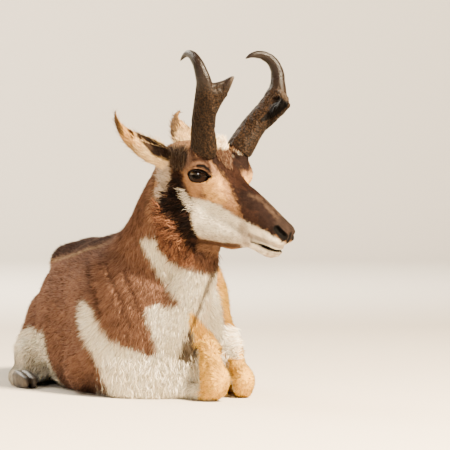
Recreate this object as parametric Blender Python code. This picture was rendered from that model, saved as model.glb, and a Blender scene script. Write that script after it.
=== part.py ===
"""A pronghorn buck lying on its chest with its head turned to its left.

Still, life-size, with no moving part. The animal faces -Y, its left is +X, +Z is up, and
it rests on small flats at z = 0. The flesh is modelled whole from lofts in metres, joined
and smoothed, and then parted into its sub-parts by thin cuts.
"""

import math
import random

import bmesh
import bpy
import numpy as np
from mathutils import Matrix, Vector
from mathutils.bvhtree import BVHTree

# Driving dimensions, in metres and degrees
PARTING = 0.0003  # gap between neighbours
FINE_GRAIN = 0.004  # grain of the joined flesh
RING_POINTS = 28
POLL = Vector((-0.02, -0.25, 0.445))
HEAD_TURN = 30.6  # to the animal's left
HEAD_DROP = 23.3
EYE_RADIUS = 0.0235
EYE_AT = (0.1145, 0.0505, 0.0225)
LID_THICKNESS = 0.0035
HEAD_TRIANGLES = 2700
NECK_TRIANGLES = 640
TORSO_TRIANGLES = 2300
HORN_TRIANGLES = 520
EAR_TRIANGLES = 600
HOOF_TRIANGLES = 150
TAIL_TRIANGLES = 200
MANE_LOCKS = 27
MANE_LENGTH = 0.046
MANE_WIDTH = 0.0088
MANE_FROM = -0.222
MANE_TO = -0.03
CROWN_LOCKS = 10
CROWN_LENGTH = 0.034
CROWN_WIDTH = 0.0085
CROWN_SPREAD = 0.020
LOCK_SINK = 0.003
ROUGH_MARGIN = 0.008  # how far a rough cut stays from the exact one
LOCK_ROWS = (
    # share of length, share of width, lift
    (0.0, 0.75, 0.0),
    (0.30, 1.0, 0.13),
    (0.70, 0.62, 0.17),
    (1.0, 0.08, 0.10),
)
SEED = 7
FLOOR_SLACK = 0.0004  # how far off the floor a reduced point may lie
SPINE_BEND = 0.45
BEND_START = 0.08

UP = Vector((0.0, 0.0, 1.0))

TURN = math.radians(HEAD_TURN)
DROP = math.radians(HEAD_DROP)
FORWARD = Vector(
    (
        math.sin(TURN) * math.cos(DROP),
        -math.cos(TURN) * math.cos(DROP),
        -math.sin(DROP),
    )
)
LEFTWARD = UP.cross(FORWARD).normalized()
CROWN = FORWARD.cross(LEFTWARD)


def on_head(forward, left, up):
    """Gives the world place of a point measured from the poll, in the head's own axes."""
    return POLL + FORWARD * forward + LEFTWARD * left + CROWN * up


def along_head(forward, left, up):
    """Gives a direction in the head's own axes as a unit vector."""
    return (FORWARD * forward + LEFTWARD * left + CROWN * up).normalized()


def material(name, colour, roughness):
    """Makes a plain material."""
    made = bpy.data.materials.new(name)
    made.use_nodes = True
    shader = made.node_tree.nodes["Principled BSDF"]
    shader.inputs["Base Color"].default_value = (*colour, 1.0)
    shader.inputs["Roughness"].default_value = roughness
    shader.inputs["Metallic"].default_value = 0.0
    return made


def curve_through(rows, steps):
    """Runs a smooth curve through rows of numbers, with some steps between each pair."""
    rows = np.array(rows, float)
    first = 2 * rows[0] - rows[1]
    last = 2 * rows[-1] - rows[-2]
    padded = np.vstack([first, rows, last])
    found = []
    for i in range(len(rows) - 1):
        a, b, c, d = padded[i : i + 4]
        for k in range(steps):
            t = k / steps
            found.append(
                0.5
                * (
                    2 * b
                    + (c - a) * t
                    + (2 * a - 5 * b + 4 * c - d) * t**2
                    + (3 * b - a - 3 * c + d) * t**3
                )
            )
    found.append(rows[-1])
    return np.array(found)


def power(value, squareness):
    """Gives the rounded-box form of a sine or cosine."""
    return math.copysign(abs(value) ** (2.0 / squareness), value)


def new_object(name, mesh):
    """Adds a mesh to the scene under one name."""
    made = bpy.data.objects.new(name, mesh)
    bpy.context.scene.collection.objects.link(made)
    return made


def closed_tube(name, rings):
    """Closes a row of rings into one solid, with a point at each end's middle."""
    shape = bmesh.new()
    rows = [[shape.verts.new(point) for point in ring] for ring in rings]
    count = len(rings[0])
    for near, far in zip(rows, rows[1:]):
        for i in range(count):
            j = (i + 1) % count
            shape.faces.new((near[i], near[j], far[j], far[i]))
    for row in (rows[0], rows[-1]):
        middle = shape.verts.new(sum((v.co for v in row), Vector()) / count)
        for i in range(count):
            shape.faces.new((row[i], row[(i + 1) % count], middle))
    bmesh.ops.recalc_face_normals(shape, faces=shape.faces)
    mesh = bpy.data.meshes.new(name)
    shape.to_mesh(mesh)
    shape.free()
    return new_object(name, mesh)


def ring_at(centre, side, rise, row, count):
    """Places one ring; the row holds half width, height above, depth below, squareness."""
    half_width, above, below, squareness = row
    points = []
    for i in range(count):
        angle = 2 * math.pi * i / count
        across = half_width * power(math.cos(angle), squareness)
        sine = math.sin(angle)
        up = (above if sine > 0 else below) * power(sine, squareness)
        points.append(centre + side * across + rise * up)
    return points


def loft(name, rows, rise_hint=UP, steps=4, count=RING_POINTS):
    """Lofts rows of x, y, z, half width, above, below and squareness along their path."""
    rows = curve_through(rows, steps)
    places = [Vector(row[:3]) for row in rows]
    rings = []
    for i, row in enumerate(rows):
        ahead = places[min(i + 1, len(places) - 1)]
        behind = places[max(i - 1, 0)]
        travel = (ahead - behind).normalized()
        side = travel.cross(rise_hint).normalized()
        rise = side.cross(travel).normalized()
        rings.append(ring_at(places[i], side, rise, row[3:], count))
    return closed_tube(name, rings)


def upright_loft(name, rows, steps=4, count=RING_POINTS):
    """Lofts rows of y, x, bottom, top, half width, level of the widest point, squareness.

    Every ring stands upright across the animal.
    """
    rings = []
    for y, x, bottom, top, half_width, level, squareness in curve_through(rows, steps):
        row = (half_width, top - level, level - bottom, squareness)
        rings.append(
            ring_at(Vector((x, y, level)), Vector((1, 0, 0)), UP, row, count)
        )
    return closed_tube(name, rings)


def head_loft(name, rows, steps=4, count=RING_POINTS):
    """Lofts rows of forward, level, half width, above, below, squareness on the head."""
    rings = []
    for forward, level, *row in curve_through(rows, steps):
        rings.append(ring_at(on_head(forward, 0, level), LEFTWARD, CROWN, row, count))
    return closed_tube(name, rings)


def ball(name, centre, radii, axes=None, fineness=3):
    """Makes an ellipsoid, with its radii along the given axes or the world's."""
    shape = bmesh.new()
    bmesh.ops.create_icosphere(shape, subdivisions=fineness, radius=1.0)
    axes = axes or (Vector((1, 0, 0)), Vector((0, 1, 0)), UP)
    for vert in shape.verts:
        place = Vector(centre)
        for axis, radius, part in zip(axes, radii, vert.co):
            place += axis * radius * part
        vert.co = place
    bmesh.ops.recalc_face_normals(shape, faces=shape.faces)
    mesh = bpy.data.meshes.new(name)
    shape.to_mesh(mesh)
    shape.free()
    return new_object(name, mesh)


def head_ball(name, place, radii, fineness=3):
    """Makes an ellipsoid set in the head's own axes."""
    return ball(name, on_head(*place), radii, (FORWARD, LEFTWARD, CROWN), fineness)


def remove(*objects):
    """Takes helpers out of the scene."""
    for obj in objects:
        bpy.data.objects.remove(obj)


def settle(obj):
    """Applies an object's modifiers."""
    graph = bpy.context.evaluated_depsgraph_get()
    mesh = bpy.data.meshes.new_from_object(obj.evaluated_get(graph))
    obj.modifiers.clear()
    obj.data = mesh
    return obj


def gathered(name, pieces):
    """Puts several meshes into one object."""
    shape = bmesh.new()
    for piece in pieces:
        shape.from_mesh(piece.data)
    mesh = bpy.data.meshes.new(name)
    shape.to_mesh(mesh)
    shape.free()
    remove(*pieces)
    return new_object(name, mesh)


def fused(obj, grain, passes, strength=0.5):
    """Joins overlapping solids into one even skin and smooths their joints."""
    remesh = obj.modifiers.new("Join", "REMESH")
    remesh.mode = "VOXEL"
    remesh.voxel_size = grain
    smooth = obj.modifiers.new("Smooth", "SMOOTH")
    smooth.factor = strength
    smooth.iterations = passes
    return settle(obj)


def smoothed_where(obj, passes, strength, chosen):
    """Smooths only the points that a test picks."""
    group = obj.vertex_groups.new(name="Chosen")
    for vert in obj.data.vertices:
        weight = chosen(vert.co)
        if weight > 0:
            group.add([vert.index], weight, "REPLACE")
    smooth = obj.modifiers.new("Smooth", "SMOOTH")
    smooth.factor = strength
    smooth.iterations = passes
    smooth.vertex_group = "Chosen"
    settle(obj)
    obj.vertex_groups.clear()
    return obj


def boolean(obj, other, operation):
    """Applies one exact Boolean."""
    step = obj.modifiers.new("Boolean", "BOOLEAN")
    step.operation = operation
    step.object = other
    step.solver = "EXACT"
    return settle(obj)


def copy_of(obj, name):
    """Copies an object with a mesh of its own."""
    return new_object(name, obj.data.copy())


def grown(obj, name, by):
    """Copies a solid with its surface moved outward."""
    made = copy_of(obj, name)
    shape = bmesh.new()
    shape.from_mesh(made.data)
    shape.normal_update()
    moves = [(vert, vert.co + vert.normal * by) for vert in shape.verts]
    for vert, place in moves:
        vert.co = place
    shape.to_mesh(made.data)
    shape.free()
    return made


def kept_side(obj, place, normal, gap=0.0):
    """Keeps what lies on the side of a plane that the normal points to, and caps it."""
    shape = bmesh.new()
    shape.from_mesh(obj.data)
    cut = bmesh.ops.bisect_plane(
        shape,
        geom=shape.verts[:] + shape.edges[:] + shape.faces[:],
        dist=1e-6,
        plane_co=Vector(place) + Vector(normal).normalized() * gap,
        plane_no=normal,
        clear_inner=True,
    )
    rim = [item for item in cut["geom_cut"] if isinstance(item, bmesh.types.BMEdge)]
    rim = [edge for edge in rim if len(edge.link_faces) == 1]
    bmesh.ops.triangle_fill(shape, edges=rim, use_beauty=True)
    bmesh.ops.recalc_face_normals(shape, faces=shape.faces)
    shape.to_mesh(obj.data)
    shape.free()
    return obj


def flattened(obj):
    """Brings the points at the floor to exactly z = 0."""
    for vert in obj.data.vertices:
        if vert.co.z < FLOOR_SLACK:
            vert.co.z = 0.0
    return obj


def largest(obj):
    """Keeps only the largest closed surface of an object."""
    shape = bmesh.new()
    shape.from_mesh(obj.data)
    left = set(shape.verts)
    groups = []
    while left:
        start = left.pop()
        group = {start}
        front = [start]
        while front:
            vert = front.pop()
            for edge in vert.link_edges:
                other = edge.other_vert(vert)
                if other in left:
                    left.discard(other)
                    group.add(other)
                    front.append(other)
        groups.append(group)
    groups.sort(key=len, reverse=True)
    spare = [vert for group in groups[1:] for vert in group]
    bmesh.ops.delete(shape, geom=spare, context="VERTS")
    shape.to_mesh(obj.data)
    shape.free()
    return obj


def reduced(obj, triangles):
    """Brings a mesh down to about this many triangles."""
    shape = bmesh.new()
    shape.from_mesh(obj.data)
    bmesh.ops.triangulate(shape, faces=shape.faces)
    count = len(shape.faces)
    shape.to_mesh(obj.data)
    shape.free()
    step = obj.modifiers.new("Reduce", "DECIMATE")
    step.ratio = min(1.0, triangles / count)
    step.use_collapse_triangulate = True
    return settle(obj)


def centred(objects):
    """Moves the whole model so that the origin lies under the middle of its box."""
    places = [vert.co for obj in objects for vert in obj.data.vertices]
    middle_x = (min(p.x for p in places) + max(p.x for p in places)) / 2
    middle_y = (min(p.y for p in places) + max(p.y for p in places)) / 2
    for obj in objects:
        obj.data.transform(Matrix.Translation((-middle_x, -middle_y, 0.0)))


def named(obj, name, look):
    """Gives an object its node name and material, shaded smooth."""
    obj.name = name
    obj.data.name = name
    obj.data.materials.clear()
    obj.data.materials.append(look)
    obj.data.shade_smooth()
    obj.data.set_sharp_from_angle(angle=math.radians(50))
    return obj


def bend(y):
    """Gives how far the spine has swung to the animal's left by this y."""
    return SPINE_BEND * max(0.0, y - BEND_START) ** 2


BRISKET = (
    # x, y, z, half width, forward, backward, squareness: from under the jaw down the throat's edge
    (0.030, -0.288, 0.305, 0.036, 0.050, 0.06, 1.9),
    (0.022, -0.284, 0.255, 0.040, 0.055, 0.07, 1.9),
    (0.010, -0.276, 0.190, 0.044, 0.058, 0.08, 1.9),
    (-0.004, -0.262, 0.135, 0.048, 0.056, 0.09, 1.9),
    (-0.018, -0.240, 0.085, 0.052, 0.050, 0.09, 2.0),
    (-0.022, -0.225, 0.030, 0.056, 0.048, 0.09, 2.2),
    (-0.022, -0.220, -0.010, 0.050, 0.040, 0.08, 2.2),
)


def chest_lean(y):
    """Gives how far the front of the chest leans to the animal's right at one y."""
    return -0.022 * min(1.0, max(0.0, (-0.10 - y) / 0.12))


def torso_pieces():
    """Makes the trunk, its ribs, shoulders and haunches as overlapping solids."""
    rows = [
        # y, bottom, top, half width, level of the widest point, squareness
        (-0.292, 0.02, 0.15, 0.042, 0.06, 2.0),
        (-0.266, -0.01, 0.195, 0.082, 0.07, 2.2),
        (-0.220, -0.03, 0.240, 0.115, 0.08, 2.4),
        (-0.15, -0.03, 0.278, 0.138, 0.10, 2.6),
        (-0.05, -0.03, 0.302, 0.152, 0.11, 2.6),
        (0.03, -0.03, 0.310, 0.160, 0.11, 2.4),
        (0.11, -0.03, 0.300, 0.156, 0.10, 2.2),
        (0.19, -0.03, 0.294, 0.138, 0.09, 2.0),
        (0.27, -0.03, 0.299, 0.124, 0.10, 1.9),
        (0.35, -0.02, 0.292, 0.114, 0.11, 1.9),
        (0.42, -0.005, 0.268, 0.098, 0.12, 1.9),
        (0.465, 0.02, 0.235, 0.074, 0.13, 2.0),
        (0.492, 0.06, 0.195, 0.042, 0.13, 2.0),
    ]
    placed = [(row[0], bend(row[0]) + chest_lean(row[0]), *row[1:]) for row in rows]
    trunk = upright_loft("Trunk", placed, count=36)
    pieces = [trunk, ball("Withers", (0, 0.0, 0.255), (0.045, 0.10, 0.070))]
    pieces.append(loft("Brisket", BRISKET, rise_hint=Vector((0, -1, 0)), count=24))
    for side in (-1, 1):
        for name, place, radii in (
            ("Shoulder", (0.106, -0.075, 0.165), (0.056, 0.098, 0.105)),
            ("Blade", (0.084, -0.01, 0.215), (0.060, 0.085, 0.070)),
            ("Upper arm", (0.116, -0.120, 0.100), (0.040, 0.075, 0.080)),
            ("Elbow", (0.128, -0.060, 0.060), (0.036, 0.060, 0.055)),
            ("Ribs", (0.098, 0.080, 0.140), (0.070, 0.130, 0.125)),
            ("Hip", (0.050, 0.270, 0.248), (0.028, 0.050, 0.042)),
            ("Croup", (0.040, 0.360, 0.235), (0.045, 0.085, 0.050)),
            ("Thigh", (0.088, 0.320, 0.100), (0.052, 0.110, 0.095)),
            ("Stifle", (0.128, 0.215, 0.078), (0.046, 0.075, 0.074)),
        ):
            x, y, z = place
            pieces.append(ball(name, (side * x + bend(y), y, z), radii))
    return pieces


def neck_pieces():
    """Makes the neck from inside the shoulders to under the head."""
    back = Vector((0, 0.7, 0.7))
    return [
        loft(
            "Neck",
            [
                (-0.004, 0.02, 0.17, 0.116, 0.12, 0.14, 2.2),
                (-0.006, -0.07, 0.215, 0.100, 0.108, 0.14, 2.0),
                (-0.005, -0.145, 0.275, 0.083, 0.086, 0.130, 1.9),
                (-0.006, -0.205, 0.335, 0.072, 0.072, 0.116, 1.9),
                (-0.010, -0.25, 0.385, 0.064, 0.062, 0.098, 2.0),
                (-0.012, -0.275, 0.415, 0.050, 0.05, 0.075, 2.0),
            ],
            rise_hint=back,
            count=32,
        )
    ]


def head_pieces():
    """Makes the skull, jaw, muzzle, brows and cheeks as overlapping solids."""
    skull = head_loft(
        "Skull",
        [
            (-0.018, 0.000, 0.030, 0.028, 0.036, 2.0),
            (0.015, 0.008, 0.052, 0.045, 0.055, 2.1),
            (0.055, 0.012, 0.060, 0.056, 0.062, 2.2),
            (0.095, 0.012, 0.063, 0.060, 0.062, 2.2),
            (0.13, 0.008, 0.057, 0.042, 0.055, 2.2),
            (0.165, 0.000, 0.045, 0.036, 0.050, 2.1),
            (0.20, -0.008, 0.037, 0.040, 0.040, 2.1),
            (0.24, -0.014, 0.033, 0.037, 0.028, 2.2),
            (0.275, -0.016, 0.031, 0.027, 0.023, 2.3),
            (0.298, -0.016, 0.027, 0.020, 0.019, 2.4),
            (0.311, -0.016, 0.018, 0.014, 0.014, 2.3),
        ],
    )
    jaw = head_loft(
        "Jaw",
        [
            (0.050, -0.050, 0.036, 0.045, 0.042, 2.1),
            (0.085, -0.055, 0.045, 0.05, 0.050, 2.2),
            (0.13, -0.058, 0.042, 0.045, 0.045, 2.2),
            (0.17, -0.058, 0.036, 0.035, 0.040, 2.1),
            (0.20, -0.058, 0.030, 0.030, 0.034, 2.1),
            (0.23, -0.055, 0.026, 0.025, 0.019, 2.1),
            (0.26, -0.054, 0.024, 0.020, 0.017, 2.1),
            (0.285, -0.053, 0.021, 0.018, 0.017, 2.1),
            (0.300, -0.050, 0.013, 0.011, 0.011, 2.0),
        ],
    )
    pieces = [skull, jaw]
    for side in (-1, 1):
        pieces.append(
            head_ball("Brow", (0.112, side * 0.050, 0.030), (0.042, 0.026, 0.033))
        )
        pieces.append(
            head_ball("Pedicle", (0.102, side * 0.050, 0.052), (0.031, 0.024, 0.026))
        )
        pieces.append(
            head_ball("Cheek", (0.095, side * 0.034, -0.045), (0.050, 0.020, 0.050))
        )
        pieces.append(
            head_ball("Lip", (0.284, side * 0.015, -0.027), (0.024, 0.016, 0.012))
        )
        pieces.append(
            head_ball("Lid", EYE_AT_SIDE[side], (EYE_RADIUS + LID_THICKNESS,) * 3, 4)
        )
    return pieces


EYE_AT_SIDE = {side: (EYE_AT[0], side * EYE_AT[1], EYE_AT[2]) for side in (-1, 1)}


def foreleg_pieces(side):
    """Makes one folded foreleg: forearm, knee, cannon and pastern."""
    if side < 0:
        forearm = [
            (0.050, -0.195, 0.155, 0.022, 0.026, 0.030, 2.0),
            (0.042, -0.255, 0.122, 0.021, 0.024, 0.028, 2.0),
            (0.033, -0.315, 0.082, 0.024, 0.026, 0.028, 2.0),
            (0.022, -0.365, 0.048, 0.028, 0.028, 0.032, 2.0),
        ]
        knee = ball("Knee", (0.022, -0.372, 0.040), (0.0305, 0.033, 0.036))
        cannon = [
            (0.021, -0.366, 0.020, 0.024, 0.020, 0.024, 2.0),
            (0.008, -0.30, 0.016, 0.017, 0.017, 0.02, 2.0),
            (-0.010, -0.22, 0.015, 0.016, 0.016, 0.02, 2.0),
            (-0.020, -0.175, 0.016, 0.020, 0.019, 0.02, 2.0),
            (-0.026, -0.14, 0.016, 0.017, 0.017, 0.02, 2.0),
        ]
    else:
        forearm = [
            (0.138, -0.120, 0.105, 0.034, 0.044, 0.045, 2.0),
            (0.124, -0.195, 0.082, 0.025, 0.032, 0.036, 2.0),
            (0.112, -0.260, 0.052, 0.021, 0.026, 0.030, 2.0),
            (0.107, -0.298, 0.038, 0.022, 0.026, 0.030, 2.0),
        ]
        knee = ball("Knee", (0.107, -0.302, 0.034), (0.024, 0.029, 0.031))
        cannon = [
            (0.109, -0.298, 0.020, 0.020, 0.018, 0.024, 2.0),
            (0.128, -0.235, 0.016, 0.016, 0.016, 0.02, 2.0),
            (0.146, -0.165, 0.015, 0.016, 0.016, 0.02, 2.0),
            (0.155, -0.12, 0.016, 0.020, 0.019, 0.02, 2.0),
            (0.160, -0.085, 0.016, 0.017, 0.017, 0.02, 2.0),
        ]
    return [loft("Forearm", forearm), knee, loft("Cannon", cannon)]


def hindleg_pieces(side):
    """Makes one folded hind leg: shank, hock, cannon and pastern along the flank."""
    shank = [
        (0.140, 0.17, 0.068, 0.040, 0.055, 0.055, 2.0),
        (0.142, 0.25, 0.058, 0.036, 0.048, 0.05, 2.0),
        (0.140, 0.33, 0.048, 0.025, 0.034, 0.036, 2.0),
        (0.136, 0.385, 0.040, 0.020, 0.026, 0.030, 2.0),
    ]
    cannon = [
        (0.138, 0.400, 0.022, 0.021, 0.022, 0.024, 2.0),
        (0.158, 0.33, 0.018, 0.0165, 0.018, 0.02, 2.0),
        (0.172, 0.265, 0.017, 0.0155, 0.017, 0.02, 2.0),
        (0.180, 0.205, 0.018, 0.0195, 0.019, 0.02, 2.0),
        (0.183, 0.165, 0.017, 0.0165, 0.017, 0.02, 2.0),
    ]
    pieces = []
    for name, rows in (("Shank", shank), ("Lower leg", cannon)):
        placed = [(side * row[0] + bend(row[1]), *row[1:]) for row in rows]
        pieces.append(loft(name, placed))
    hock = (side * 0.137 + bend(0.40), 0.402, 0.036)
    return pieces + [ball("Hock", hock, (0.022, 0.032, 0.033))]


def tail_piece():
    """Makes the short tail lying down over the rump."""
    return loft(
        "Tail",
        [
            (0.064, 0.455, 0.225, 0.026, 0.018, 0.018, 2.0),
            (0.074, 0.490, 0.205, 0.030, 0.020, 0.016, 2.0),
            (0.082, 0.514, 0.165, 0.030, 0.018, 0.014, 2.0),
            (0.086, 0.523, 0.128, 0.022, 0.013, 0.010, 2.0),
            (0.087, 0.525, 0.104, 0.008, 0.006, 0.005, 2.0),
        ],
        rise_hint=Vector((0, 1, 0.6)),
        count=16,
        steps=3,
    )


def horn_piece(side):
    """Makes one horn: a flattened beam that rises, leans and hooks, with its prong."""
    beam = {
        # forward, outward, up, half width, half thickness
        -1: [
            (0.104, 0.046, 0.040, 0.0220, 0.0160),
            (0.103, 0.057, 0.073, 0.0275, 0.0185),
            (0.100, 0.076, 0.114, 0.0250, 0.0160),
            (0.100, 0.087, 0.144, 0.0255, 0.0145),
            (0.099, 0.096, 0.172, 0.0240, 0.0130),
            (0.092, 0.105, 0.196, 0.0170, 0.0112),
            (0.083, 0.110, 0.212, 0.0140, 0.0098),
            (0.067, 0.110, 0.226, 0.0112, 0.0085),
            (0.046, 0.104, 0.233, 0.0090, 0.0070),
            (0.028, 0.097, 0.230, 0.0066, 0.0055),
            (0.017, 0.092, 0.218, 0.0040, 0.0036),
            (0.012, 0.090, 0.207, 0.0016, 0.0016),
        ],
        1: [
            (0.104, 0.046, 0.040, 0.0220, 0.0160),
            (0.101, 0.058, 0.075, 0.0275, 0.0185),
            (0.099, 0.076, 0.110, 0.0250, 0.0160),
            (0.099, 0.090, 0.144, 0.0255, 0.0145),
            (0.099, 0.103, 0.170, 0.0240, 0.0130),
            (0.095, 0.114, 0.195, 0.0170, 0.0112),
            (0.085, 0.118, 0.218, 0.0140, 0.0098),
            (0.069, 0.112, 0.236, 0.0112, 0.0085),
            (0.052, 0.100, 0.242, 0.0090, 0.0070),
            (0.040, 0.088, 0.238, 0.0066, 0.0055),
            (0.034, 0.081, 0.231, 0.0040, 0.0036),
            (0.031, 0.077, 0.225, 0.0016, 0.0016),
        ],
    }[side]
    prong = {
        -1: [
            (0.098, 0.084, 0.140, 0.024, 0.0125),
            (0.107, 0.086, 0.168, 0.021, 0.0110),
            (0.118, 0.084, 0.194, 0.0155, 0.0085),
            (0.126, 0.081, 0.215, 0.0085, 0.0058),
            (0.131, 0.078, 0.228, 0.0025, 0.0025),
        ],
        1: [
            (0.100, 0.086, 0.128, 0.024, 0.0125),
            (0.114, 0.090, 0.146, 0.021, 0.0110),
            (0.130, 0.086, 0.163, 0.0160, 0.0088),
            (0.143, 0.081, 0.175, 0.0100, 0.0064),
            (0.152, 0.078, 0.183, 0.0035, 0.0032),
        ],
    }[side]
    pieces = []
    for name, rows in (("Beam", beam), ("Prong", prong)):
        rows = curve_through(rows, 5)
        places = [on_head(row[0], side * row[1], row[2]) for row in rows]
        rings = []
        for i, row in enumerate(rows):
            ahead = places[min(i + 1, len(places) - 1)]
            behind = places[max(i - 1, 0)]
            travel = (ahead - behind).normalized()
            thin = (LEFTWARD - travel * LEFTWARD.dot(travel)).normalized()
            wide = thin.cross(travel).normalized()
            size = (row[4], row[3], row[3], 2.2)
            rings.append(ring_at(places[i], thin, wide, size, 20))
        pieces.append(closed_tube(name, rings))
    horn = fused(gathered("Horn", pieces), 0.0018, 3)
    return reduced(horn, HORN_TRIANGLES)


EARS = {
    # the root, the way to the tip and the way the cup faces, in the head's axes
    -1: {"root": (0.019, -0.047, 0.014), "tip": (-0.079, -0.090, 0.065), "cup": (0.27, 0.35, 0.89)},
    1: {"root": (0.018, 0.047, 0.020), "tip": (-0.118, 0.063, 0.044), "cup": (0.45, 0.75, 0.5)},
}


def ear_piece(side):
    """Makes one ear as a pointed leaf rolled into a cup, thick at its root."""
    pose = EARS[side]
    axis = along_head(*pose["tip"])
    length = math.sqrt(sum(part**2 for part in pose["tip"]))
    facing = along_head(*pose["cup"])
    facing = (facing - axis * facing.dot(axis)).normalized()
    across = axis.cross(facing).normalized()
    root = on_head(*pose["root"])
    rows = curve_through(
        [
            # share of length, radius, half of the opening's angle, wall, droop backward
            (-0.06, 0.018, 10, 0.0170, 0.0),
            (0.05, 0.0215, 14, 0.0180, 0.0),
            (0.16, 0.0265, 42, 0.0075, 0.0),
            (0.30, 0.0290, 66, 0.0050, 0.001),
            (0.45, 0.0285, 84, 0.0040, 0.002),
            (0.60, 0.0265, 98, 0.0032, 0.003),
            (0.75, 0.0220, 108, 0.0030, 0.002),
            (0.88, 0.0150, 116, 0.0028, 0.000),
            (0.97, 0.0075, 122, 0.0026, -0.003),
            (1.0, 0.0030, 124, 0.0022, -0.005),
        ],
        2,
    )
    around = 13
    shape = bmesh.new()
    rings = []
    for share, radius, opening, wall, droop in rows:
        centre = root + axis * length * share - facing * droop
        half = math.radians(180 - opening)
        ring = []
        for i in range(around):
            angle = -half + 2 * half * i / (around - 1)
            way = -facing * math.cos(angle) + across * math.sin(angle)
            ring.append(centre + way * radius)
        for i in reversed(range(around)):
            angle = -half + 2 * half * i / (around - 1)
            way = -facing * math.cos(angle) + across * math.sin(angle)
            ring.append(centre + way * max(radius - wall, 0.0006))
        rings.append([shape.verts.new(point) for point in ring])
    count = 2 * around
    for near, far in zip(rings, rings[1:]):
        for i in range(count):
            j = (i + 1) % count
            shape.faces.new((near[i], near[j], far[j], far[i]))
    for ring in (rings[0], rings[-1]):
        for i in range(around - 1):
            corners = (ring[i], ring[i + 1], ring[count - 2 - i], ring[count - 1 - i])
            shape.faces.new(corners)
    bmesh.ops.recalc_face_normals(shape, faces=shape.faces)
    mesh = bpy.data.meshes.new("Ear")
    shape.to_mesh(mesh)
    shape.free()
    ear = new_object("Ear", mesh)
    plug = ball(
        "Ear root", root + axis * 0.006, (0.0190, 0.0195, 0.027), (facing, across, axis), 3
    )
    ear = fused(gathered("Ear", [ear, plug]), 0.0016, 2)
    return reduced(ear, EAR_TRIANGLES)


def hoof_piece(name, place, heading, side_tilt=0.0):
    """Makes one cloven hoof, lying on its side edge with its sole to the rear."""
    travel = Vector(heading).normalized()
    across = travel.cross(UP).normalized()
    halves = []
    for half in (-1, 1):
        rows = []
        for reach, width, above, below in (
            (-0.012, 0.0080, 0.016, 0.017),
            (0.006, 0.0092, 0.016, 0.020),
            (0.026, 0.0086, 0.012, 0.020),
            (0.044, 0.0062, 0.006, 0.019),
            (0.052, 0.0030, 0.002, 0.016),
        ):
            centre = Vector(place) + travel * reach + across * half * 0.0082
            rows.append((*centre, width, above, below, 2.4))
        halves.append(loft(name, rows, count=14, steps=2))
    return halves


HOOVES = {
    "hoof_fore_right": ((-0.030, -0.125, 0.018), (-0.12, 1.0, 0.0)),
    "hoof_fore_left": ((0.163, -0.070, 0.018), (0.10, 1.0, 0.0)),
    "hoof_hind_right": ((-0.183, 0.148, 0.018), (0.06, -1.0, 0.0)),
    "hoof_hind_left": ((0.184, 0.148, 0.018), (-0.06, -1.0, 0.0)),
}


def leg_zone(name, rows):
    """Makes the volume that belongs to one leg, by which it is parted from the trunk."""
    return loft(name, rows, count=14, steps=2)


ZONES = {
    # x, y, z, half width, above, below, squareness
    "foreleg_right": [
        (0.012, -0.300, -0.02, 0.046, 0.128, 0.03, 3.0),
        (0.016, -0.33, -0.02, 0.050, 0.128, 0.03, 3.0),
        (0.020, -0.37, -0.02, 0.054, 0.120, 0.03, 3.0),
        (0.022, -0.45, -0.02, 0.054, 0.11, 0.03, 3.0),
    ],
    "foreleg_left": [
        (0.172, -0.03, -0.02, 0.036, 0.060, 0.03, 2.6),
        (0.165, -0.13, -0.02, 0.040, 0.070, 0.03, 2.6),
        (0.140, -0.20, -0.02, 0.050, 0.110, 0.03, 2.6),
        (0.118, -0.28, -0.02, 0.055, 0.125, 0.03, 2.6),
        (0.11, -0.38, -0.02, 0.060, 0.12, 0.03, 2.6),
    ],
    "hindleg": [
        (0.192, 0.09, -0.02, 0.034, 0.062, 0.03, 2.4),
        (0.190, 0.16, -0.02, 0.042, 0.080, 0.03, 2.4),
        (0.188, 0.24, -0.02, 0.060, 0.105, 0.03, 2.4),
        (0.178, 0.32, -0.02, 0.062, 0.105, 0.03, 2.4),
        (0.165, 0.40, -0.02, 0.060, 0.095, 0.03, 2.4),
        (0.160, 0.47, -0.02, 0.055, 0.09, 0.03, 2.4),
    ],
}


def zone_rows(name):
    """Gives the rows of one leg's volume; the hind legs share theirs, mirrored."""
    kind, side_name = name.split("_")
    if kind == "foreleg":
        return ZONES[name]
    side = 1 if side_name == "left" else -1
    return [(side * row[0] + bend(row[1]), *row[1:]) for row in ZONES[kind]]


HEAD_OUTLINE = (
    # forward, up: behind the ears, round the angle of the jaw and under the chin
    (-0.036, 0.16),
    (-0.016, 0.02),
    (0.038, -0.085),
    (0.075, -0.114),
    (0.16, -0.116),
    (0.37, -0.135),
    (0.37, 0.16),
)


def head_prism(name, outline):
    """Makes a prism across the head from an outline in its forward and up axes."""
    shape = bmesh.new()
    sides = []
    for reach in (-0.16, 0.16):
        sides.append([shape.verts.new(on_head(f, reach, u)) for f, u in outline])
    count = len(outline)
    for i in range(count):
        j = (i + 1) % count
        shape.faces.new((sides[0][i], sides[0][j], sides[1][j], sides[1][i]))
    shape.faces.new(sides[0])
    shape.faces.new(sides[1])
    bmesh.ops.recalc_face_normals(shape, faces=shape.faces)
    mesh = bpy.data.meshes.new(name)
    shape.to_mesh(mesh)
    shape.free()
    return new_object(name, mesh)


def lock_of_hair(root, lie, out, length, width):
    """Makes one flat, tapered lock that leaves the skin and bends over along its lie."""
    across = lie.cross(out).normalized()
    rings = []
    for share, spread, lift in LOCK_ROWS:
        centre = root + lie * length * share + out * length * lift
        wide = across * width * spread
        thick = out * width * 0.30 * spread
        rings.append([centre + wide, centre + thick, centre - wide, centre - thick])
    return closed_tube("Lock", rings)


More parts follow.
